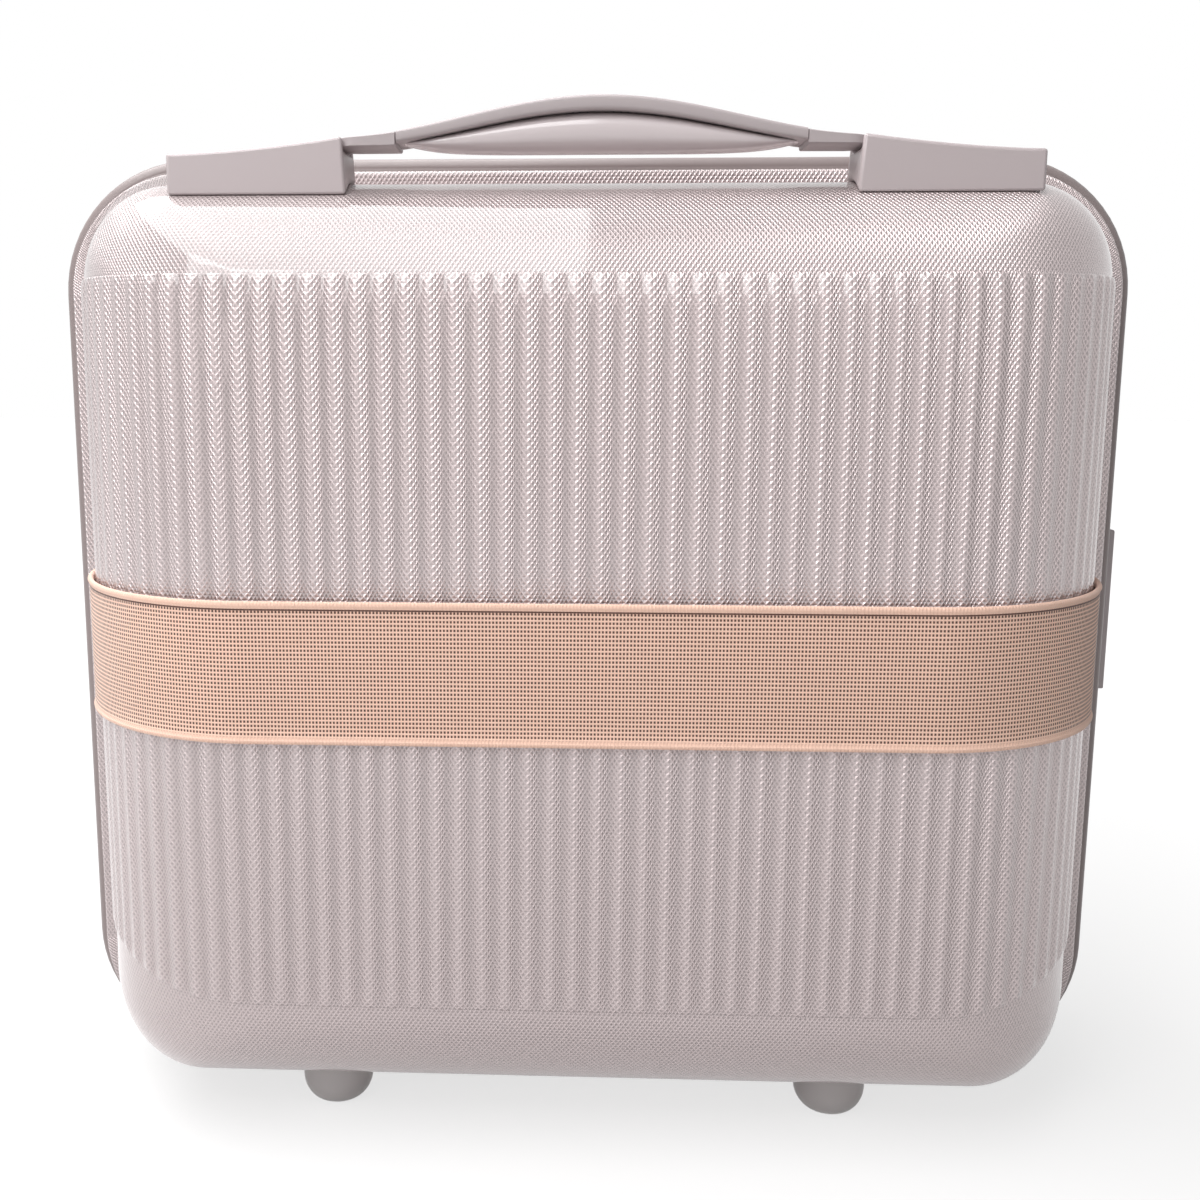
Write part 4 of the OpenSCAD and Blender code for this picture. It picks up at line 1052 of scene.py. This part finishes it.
def packing_parts(k):
    """One elastic packing strap: straight across the mouth from corner to corner,
    with its folded, doubled ends."""
    reach_to, way, side, middle = packing_line(k)
    run = np.linspace(-reach_to, reach_to, 41)
    parts = [ribbon(middle + run[:, None] * way, side, PACK_W, PACK_T - 0.1, (0, 1, 0))]
    doubled = middle + np.array([0, PACK_T * 0.3, 0])
    for sign in (-1, 1):
        tab = np.linspace(reach_to - 16, reach_to - 0.3, 6) * sign
        parts.append(ribbon(doubled + tab[:, None] * way, side, PACK_W - 0.6, PACK_T, (0, 1, 0)))
    return joined(*parts)


def stitch_parts(k):
    """Box stitches on a packing strap's ends: short raised threads in a rectangle,
    each a tube of five sides that thins at both ends."""
    reach_to, way, side, middle = packing_line(k)
    middle = middle + np.array([0, PACK_T * 0.82, 0])
    half, near, far, pitch = PACK_W / 2 - 2.5, reach_to - 14.5, reach_to - 2, 2.2
    marks = [(r, w, 1, 0) for r in np.arange(near, far, pitch) for w in (-half, half)]
    marks += [(r, w, 0, 1) for w in np.arange(-half + pitch / 2, half, pitch) for r in (near, far)]
    marks = np.array([(s * r, w, a, b) for s in (-1, 1) for r, w, a, b in marks])
    centre = middle + marks[:, :1] * way + marks[:, 1:2] * side
    along = marks[:, 2:3] * way + marks[:, 3:4] * side
    over = marks[:, 2:3] * side + marks[:, 3:4] * way
    ends = np.array([-0.75, -0.5, 0.5, 0.75])
    a = np.radians(np.arange(5) * 72)
    size = np.array([0.35, 1, 1, 0.35])[:, None] * 0.22
    grids = (centre[:, None, None] + along[:, None, None] * ends[None, :, None, None]
             + over[:, None, None] * (size * np.cos(a))[None, :, :, None]
             + np.array([0, 1.0, 0]) * (size * np.sin(a))[None, :, :, None])
    return many(grids)


def pocket_point(x, z, off=0.0):
    """Front of the pocket at x from its middle and z above its lower edge: it
    stands off by its depth, less the 12th power of the way to a side and the
    16th of the way down, so that it meets the lining at the sides and below."""
    u, w = np.clip(np.abs(x) / POCKET_W, 0, 1), np.clip(1 - z / POCKET_H, 0, 1)
    depth = POCKET_D * (1 - u ** 12) * (1 - w ** 16)
    return np.stack([x, POCKET_BACK - 0.1 - depth - off + 0 * z, z + MID_Z - POCKET_H / 2], axis=-1)


def net_parts():
    """The pocket's net: threads along x + z and x - z, one pitch apart, each a
    four-sided tube that follows the pocket's front."""
    pitch, thread = 3.6, 0.24
    tubes = []
    for sign in (1.0, -1.0):
        c = np.arange(-POCKET_W + pitch, POCKET_W + POCKET_H, pitch * math.sqrt(2))
        z0, z1 = np.maximum(0, c - POCKET_W), np.minimum(POCKET_H, c + POCKET_W)
        keep = z1 - z0 > 4
        c, z0, z1 = c[keep], z0[keep], z1[keep]
        k = np.linspace(0, 1, 44)[None]
        z = z0[:, None] + (z1 - z0)[:, None] * k
        x = sign * (c[:, None] - z)
        line = pocket_point(x, z)
        a = np.radians([45, 135, 225, 315])[:, None]
        way = np.array([sign, 0, 1]) / math.sqrt(2)
        ring = thread * (np.cos(a) * way + np.sin(a) * np.array([0, 1.0, 0]))
        tubes.append(line[:, :, None] + ring[None, None])
    return joined(*(many(t) for t in tubes))


def pocket_bindings():
    """Tape round the pocket's sides and foot, and the elastic hem at its mouth,
    which is gathered in waves 10 mm long."""
    z = np.linspace(0, POCKET_H, 31)
    x = np.linspace(-POCKET_W, POCKET_W, 61)
    out, middle = (0, 1, 0), BINDING_W / 2
    flat, level = np.array([1, 0, 1]), np.array([0, POCKET_BACK - 1.3, 0])
    tapes = [ribbon(pocket_point(np.full(31, s * (POCKET_W - middle)), z, 0.2) * flat + level,
                    (1, 0, 0), BINDING_W, BINDING_T, out) for s in (-1, 1)]
    tapes.append(ribbon(pocket_point(x, np.full(61, middle), 0.2) * flat + level,
                        (0, 0, 1), BINDING_W, BINDING_T, out))
    gathers = 0.1 + 0.12 * np.sin(x / 1.6)
    hem = ribbon(pocket_point(x * 0.99, np.full(61, POCKET_H - HEM_W / 2), gathers), (0, 0, 1), HEM_W, HEM_T, out)
    return joined(*tapes), hem


def hinge_parts():
    """Woven hinge strip from bead to bead along the bottom, one piece of cloth
    that bows down at the fold by a bell curve 0.18 mm deep."""
    half, half_thick = RIM_W - RIM_CORNER, 0.32
    y = np.concatenate([np.linspace(-4.9, -1.6, 5), np.linspace(-1.2, 1.2, 9), np.linspace(1.6, 4.9, 5)])
    x = np.linspace(-half, half, 61)[:, None]
    level = MID_Z - RIM_H + 1.1 - 0.18 * np.exp(-(y / 1.6) ** 2)
    around = np.concatenate([y, y[::-1]])[None]
    z = np.concatenate([level - half_thick, level[::-1] + half_thick])[None]
    grid = np.stack(np.broadcast_arrays(x, around, z), axis=-1)
    return solid(grid, np.stack(np.broadcast_arrays(x, around), axis=-1))


# ---------------------------------------------------------------- operators

class VANITY_OT_shells(Operator):
    """Moulded halves: smooth skin and rib band of body and lid"""
    bl_idname = "vanity.shells"
    bl_label = "Moulded halves"

    def execute(self, context):
        settings = context.scene.vanity_shell
        film = embossed_film(settings)
        skin, ribs = shell_skin(), shell_ribs(settings.rib_rise)
        for side, body in (("body", "case_body"), ("lid", "lid")):
            place(f"{side}_skin", for_side(side, skin), film, body, "shell", side + "_shell", smooth=50)
            place(f"{side}_ribs", for_side(side, ribs), film, body, "shell", smooth=50)
        return {"FINISHED"}


class VANITY_OT_rim(Operator):
    """Rim beads, zip tape and coil teeth of both halves"""
    bl_idname = "vanity.rim"
    bl_label = "Rim and zip"

    def execute(self, context):
        settings = context.scene.vanity_trim
        # PVC piping, extruded smooth: satin, slightly waxy
        bead = moulded("extruded_PVC_piping", settings.bead_colour, roughness=0.36, grain_mm=0.5, depth_mm=0.006)
        # polyester tape, woven fine: dull with a small rib
        tape = woven("polyester_zip_tape", linear("8d8283"), pitch_u=0.55, pitch_v=0.8, depth_mm=0.08)
        # nylon monofilament coil: smooth, slightly glossy
        coil = moulded("nylon_coil", linear("9b9091"), roughness=0.33, grain_mm=0.3, depth_mm=0.004)
        for side, body, phase in (("body", "case_body", 0.0), ("lid", "lid", 0.5)):
            for name, node, slot, material, part in (
                    ("bead", "rim_bead", "bead", bead, bead_parts()), ("tape", "zip_tape", "tape", tape, tape_parts()),
                    ("coil", "zip_chain", "chain", coil, coil_parts(settings.tooth_pitch, phase))):
                place(f"{side}_{name}", for_side(side, part), material, body, slot, f"{side}_{node}")
        return {"FINISHED"}


class VANITY_OT_band(Operator):
    """Elastic luggage band round the ribs"""
    bl_idname = "vanity.band"
    bl_label = "Luggage band"

    def execute(self, context):
        web = knitted_elastic(context.scene.vanity_cloth)
        place("band", band_parts(), web, "case_body", "band", "luggage_band", smooth=60)
        return {"FINISHED"}


class VANITY_OT_handle(Operator):
    """Caps, strap, its two ends and the grip"""
    bl_idname = "vanity.handle"
    bl_label = "Carry handle"

    def execute(self, context):
        settings = context.scene.vanity_trim
        # injection-moulded PP with a fine spark grain: satin, with a pale line of light on each edge
        cap = moulded("moulded_PP_cap", settings.cap_colour, roughness=0.36, grain_mm=0.4, depth_mm=0.01)
        # moulded PVC belt: satin, a little softer than the caps
        strap = moulded("moulded_PVC_strap", linear("aea4a5"), roughness=0.42, grain_mm=0.4, depth_mm=0.01)
        # soft PVC, moulded in a polished tool: a clear highlight along its upper side
        grip = moulded("polished_PVC_grip", settings.grip_colour, roughness=0.4, grain_mm=0.5, depth_mm=0.004,
                       **{"Coat Weight": 1.0, "Coat Roughness": 0.08})
        for node in ("handle_cap_left", "handle_cap_right"):
            softened(node, cap, 0.9)
        place("strap", strap_parts(), strap, "handle", "strap", "handle_strap")
        place("grip", grip_parts(), grip, "handle", "grip", "handle_grip", smooth=60)
        for name, side in (("left", -1), ("right", 1)):
            nodes = ["handle_tongues"] if side < 0 else []
            points, faces, uv = tongue_parts(side)
            piece = put_mesh(f"strap_end_{name}", points, faces, strap, uv, 40)
            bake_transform(piece)
            if nodes:
                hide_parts(*nodes)
        # cold-rolled steel strip, hardened: satin
        finish_node("handle_core", metal("spring_steel", "8f8f92", roughness=0.4))
        return {"FINISHED"}


class VANITY_OT_feet(Operator):
    """Domed feet under both halves"""
    bl_idname = "vanity.feet"
    bl_label = "Feet"

    def execute(self, context):
        # hard PP, moulded in a polished tool: glossy
        foot = moulded("polished_PP_foot", linear("d2cdcc"), roughness=0.12, grain_mm=0.8, depth_mm=0.002)
        for side, body, y in (("body", "case_body", -1), ("lid", "lid", 1)):
            place(f"{side}_domed_feet", foot_parts(y), foot, body, "foot", f"{side}_feet", smooth=50)
        return {"FINISHED"}


class VANITY_OT_lock(Operator):
    """Side lock with its dials, and the zip's sliders and pullers"""
    bl_idname = "vanity.lock"
    bl_label = "Lock and sliders"

    def execute(self, context):
        # injection-moulded ABS with a fine spark grain: satin, the button a little smoother
        colour = context.scene.vanity_trim.cap_colour
        trim = moulded("moulded_ABS_lock", colour, roughness=0.35, grain_mm=0.4, depth_mm=0.008)
        button = moulded("moulded_ABS_button", linear("857c7d"), roughness=0.3, grain_mm=0.4, depth_mm=0.008)
        # die-cast zinc, tumbled and nickel plated: bright, softly streaked
        zinc = metal("nickel_plated_zinc", "b9b6b6", roughness=0.22)
        # black ink pad-printed on the plated dials: matt
        ink = moulded("printed_ink", linear("2a2727"), roughness=0.7, grain_mm=0.3, depth_mm=0.002)
        softened("lock_housing", trim, 0.6)
        softened("lock_button", button, 0.3, 2)
        for node in ("zip_slider_upper", "zip_slider_lower", "zip_puller_upper", "zip_puller_lower"):
            softened(node, zinc, 0.25, 2)
        for name, k in (("upper", 1), ("middle", 0), ("lower", -1)):
            softened("dial_" + name, zinc, 0.2, 2)
            dial_digits(f"dial_{name}_digits", LOCK_MID - DIAL_DROP + k * DIAL_STEP, ink, "dial_" + name)
        return {"FINISHED"}


class VANITY_OT_fasteners(Operator):
    """Screws, backing plates, shaft and spring"""
    bl_idname = "vanity.fasteners"
    bl_label = "Fasteners"

    def execute(self, context):
        # steel wire and screws, zinc plated in a barrel: bright but not a mirror
        steel = metal("zinc_plated_steel", "b4b4b6", roughness=0.35)
        # aluminium sheet as it leaves the rolls: satin
        plate = metal("rolled_aluminium", "c2c2c4", roughness=0.4)
        for node in ("handle_screws", "body_foot_screws", "lid_foot_screws", "lock_screws", "dial_shaft"):
            finish_node(node, steel)
        points, faces, uv = spring_parts()
        spring = put_mesh("button_coil_spring", points, faces, steel, uv, 60)
        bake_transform(spring)
        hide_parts("button_spring")
        for node in ("handle_backing_plates", "lock_backing_plate"):
            finish_node(node, plate)
        return {"FINISHED"}


class VANITY_OT_inside(Operator):
    """Linings, packing straps, mesh pocket and hinge strip"""
    bl_idname = "vanity.inside"
    bl_label = "Inside"

    def execute(self, context):
        settings = context.scene.vanity_cloth
        # polyester taffeta with a backing: fine plain weave, faint shine
        cloth = woven("polyester_taffeta_lining", settings.lining_colour, pitch_u=0.8, pitch_v=0.8, depth_mm=0.05,
                      roughness=0.6, painted_weave_shade=0.7)
        # knitted elastic, closer than the luggage band
        elastic = woven("elastic_webbing", settings.band_colour, pitch_u=0.9, pitch_v=1.3, depth_mm=0.15,
                        roughness=0.8, painted_weave_shade=0.6)
        # polyester tape, woven with a rib: dull
        tape = woven("polyester_binding", linear("7c7274"), pitch_u=0.6, pitch_v=1.0, depth_mm=0.1,
                     roughness=0.8, painted_weave_shade=0.6)
        # nylon threads, knotted and heat set: dull; and twisted sewing thread: matt
        net = moulded("knotted_nylon_net", linear("575153"), roughness=0.5, grain_mm=0.3, depth_mm=0.01)
        thread = moulded("sewing_thread", linear("f1dccf"), roughness=0.6, grain_mm=0.2, depth_mm=0.01)
        lining = lining_parts()
        place("body_sewn_lining", lining, cloth, "case_body", "lining", "body_lining", smooth=60)
        place("lid_sewn_lining", for_side("lid", lining), cloth, "lid", "lining", "lid_lining", smooth=60)
        place("packing_strap_front", packing_parts(0), elastic, "case_body", "elastic", "packing_straps")
        place("packing_strap_back", packing_parts(1), elastic, "case_body", "elastic")
        place("strap_stitches", joined(stitch_parts(0), stitch_parts(1)), thread, "case_body", "elastic")
        bindings, hem = pocket_bindings()
        place("pocket_net", net_parts(), net, "lid", "mesh", "lid_pocket")
        place("pocket_binding", bindings, tape, "lid", "tape")
        place("pocket_hem", hem, tape, "lid", "elastic")
        points, faces, uv = hinge_parts()
        strip = put_mesh("hinge_strip", points, faces, tape, uv, 60)
        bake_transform(strip)
        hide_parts("hinge_strip_body", "hinge_strip_lid")
        return {"FINISHED"}


class VANITY_OT_studio(Operator):
    """White surround and paper floor, two soft lamps and the camera"""
    bl_idname = "vanity.studio"
    bl_label = "Studio"

    def execute(self, context):
        s = context.scene.vanity_studio
        scene = context.scene
        scene.view_settings.view_transform = "Standard"
        world = bpy.data.worlds.new("studio")
        scene.world = world
        world.use_nodes = True
        tree = world.node_tree
        back = tree.nodes["Background"]
        back.inputs["Color"].default_value = (1, 1, 1, 1)
        seen = self.seen(tree)
        strength = add(tree, "ShaderNodeMapRange", {"To Min": s.sky, "To Max": 1.0}, {"Value": seen})
        tree.links.new(strength.outputs[0], back.inputs["Strength"])

        # seamless paper, uncoated: matt
        floor_material, tree, shader = new_material("white_paper", linear("c6c5c5"), 0.9)
        shader.inputs["Specular IOR Level"].default_value = 0.1
        # the paper runs out into the white round it: its own light rises with distance, in metres
        near, far, dim, bright = 0.2, 0.9, 0.44, 0.93
        place_on = add(tree, "ShaderNodeTexCoord")
        away = add(tree, "ShaderNodeVectorMath", {"operation": "LENGTH"}, {0: place_on.outputs["Object"]})
        share = add(tree, "ShaderNodeMapRange", {"From Min": near, "From Max": far, "To Min": dim, "To Max": bright},
                    {"Value": away.outputs["Value"]})
        glow = add(tree, "ShaderNodeMath", {"operation": "MULTIPLY"}, {0: self.seen(tree), 1: share.outputs[0]})
        shader.inputs["Emission Color"].default_value = (1, 1, 1, 1)
        tree.links.new(glow.outputs[0], shader.inputs["Emission Strength"])
        # the open lid swings below the paper: half clear to the camera, with the white
        # world behind it, the paper clears wholly where something lies under it
        depth, hidden, free, half_clear = 1.2, 0.97, 0.999, 0.5
        under = add(tree, "ShaderNodeAmbientOcclusion", {"inside": True, "samples": 40, "Distance": depth})
        cover = add(tree, "ShaderNodeMapRange", {"From Min": hidden, "From Max": free}, {"Value": under.outputs["AO"]})
        path = add(tree, "ShaderNodeLightPath")
        veil = add(tree, "ShaderNodeMapRange", {"To Min": 1.0, "To Max": half_clear},
                   {"Value": path.outputs["Is Camera Ray"]})
        solidity = add(tree, "ShaderNodeMath", {"operation": "MULTIPLY"}, {0: cover.outputs[0], 1: veil.outputs[0]})
        tree.links.new(solidity.outputs[0], shader.inputs["Alpha"])
        wide = 4000.0
        floor = put_mesh("studio_floor", [(-wide, -wide, 0), (wide, -wide, 0), (wide, wide, 0), (-wide, wide, 0)],
                         [[0, 1, 2, 3]], floor_material)

        # the overhead lamp's reflection runs along the upper edge to its middle; the left one fills the face
        self.lamp("overhead_softbox", at=(-0.40, -0.30, 1.0), aim=(-0.40, -0.299, 0.0), width=0.8, height=1.6,
                  power=s.overhead)
        self.lamp("left_softbox", at=(-0.55, -0.95, 0.75), aim=(0, 0, 0.16), width=0.45, height=0.45, power=s.left)

        data = bpy.data.cameras.new("camera")
        data.sensor_width = 36.0
        data.sensor_fit = "HORIZONTAL"
        data.lens = s.lens
        data.shift_x = s.shift
        data.clip_start = 0.01
        camera = bpy.data.objects.new("camera", data)
        scene.collection.objects.link(camera)
        forward = np.array([math.sin(s.turn) * math.cos(s.nod), math.cos(s.turn) * math.cos(s.nod), -math.sin(s.nod)])
        right = np.array([math.cos(s.turn), -math.sin(s.turn), 0])
        up = np.cross(right, forward)
        m = Matrix(np.stack([right, up, -forward], axis=1).tolist()).to_4x4()
        m.translation = ((s.camera_x + CENTRE_X) * MM, (s.camera_y + SEAM_Y) * MM, s.camera_z * MM)
        camera.matrix_world = m
        scene.camera = camera
        return {"FINISHED"}

    @staticmethod
    def seen(tree):
        """1 where the camera, a mirror-like surface or clear material sees the stage."""
        path = add(tree, "ShaderNodeLightPath")
        mirror = add(tree, "ShaderNodeMath", {"operation": "MAXIMUM"},
                     {0: path.outputs["Is Camera Ray"], 1: path.outputs["Is Glossy Ray"]})
        return add(tree, "ShaderNodeMath", {"operation": "MAXIMUM"},
                   {0: mirror.outputs[0], 1: path.outputs["Is Transmission Ray"]}).outputs[0]

    @staticmethod
    def lamp(name, at, aim, width, height, power):
        """A white rectangular lamp at a place, turned towards its aim."""
        data = bpy.data.lights.new(name, "AREA")
        data.shape = "RECTANGLE"
        data.size, data.size_y = width, height
        data.energy = power
        obj = bpy.data.objects.new(name, data)
        bpy.context.scene.collection.objects.link(obj)
        direction = np.array(aim, float) - np.array(at, float)
        direction /= np.linalg.norm(direction)
        side = np.cross(direction, (0, 0, 1.0))
        side /= np.linalg.norm(side)
        m = Matrix(np.stack([side, np.cross(side, direction), -direction], axis=1).tolist()).to_4x4()
        m.translation = at
        obj.matrix_world = m


class VANITY_PT_panel(Panel):
    """Lists the pieces in the order in which they are made"""
    bl_label = "Vanity case"
    bl_idname = "VANITY_PT_panel"
    bl_space_type = "VIEW_3D"
    bl_region_type = "UI"
    bl_category = "Vanity case"

    def draw(self, context):
        for step in STEPS:
            self.layout.operator(step.bl_idname)
        for group in SETTINGS:
            box = self.layout.box()
            values = getattr(context.scene, group)
            for name in values.bl_rna.properties.keys():
                if name not in ("rna_type", "name"):
                    box.prop(values, name)


STEPS = (VANITY_OT_studio, VANITY_OT_shells, VANITY_OT_rim, VANITY_OT_band, VANITY_OT_handle, VANITY_OT_feet,
         VANITY_OT_lock, VANITY_OT_fasteners, VANITY_OT_inside)
SETTINGS = {"vanity_shell": ShellSettings, "vanity_trim": TrimSettings, "vanity_cloth": ClothSettings,
            "vanity_studio": StudioSettings}


def register():
    for group in SETTINGS.values():
        bpy.utils.register_class(group)
    for name, group in SETTINGS.items():
        setattr(bpy.types.Scene, name, PointerProperty(type=group))
    for step in STEPS:
        bpy.utils.register_class(step)
    bpy.utils.register_class(VANITY_PT_panel)


def unregister():
    bpy.utils.unregister_class(VANITY_PT_panel)
    for step in reversed(STEPS):
        bpy.utils.unregister_class(step)
    for name in SETTINGS:
        delattr(bpy.types.Scene, name)
    for group in reversed(SETTINGS.values()):
        bpy.utils.unregister_class(group)


def main():
    register()
    for step in STEPS:
        area, name = step.bl_idname.split(".")
        if getattr(getattr(bpy.ops, area), name)() != {"FINISHED"}:
            raise RuntimeError("not finished: " + step.bl_label)


if __name__ == "__main__":
    main()
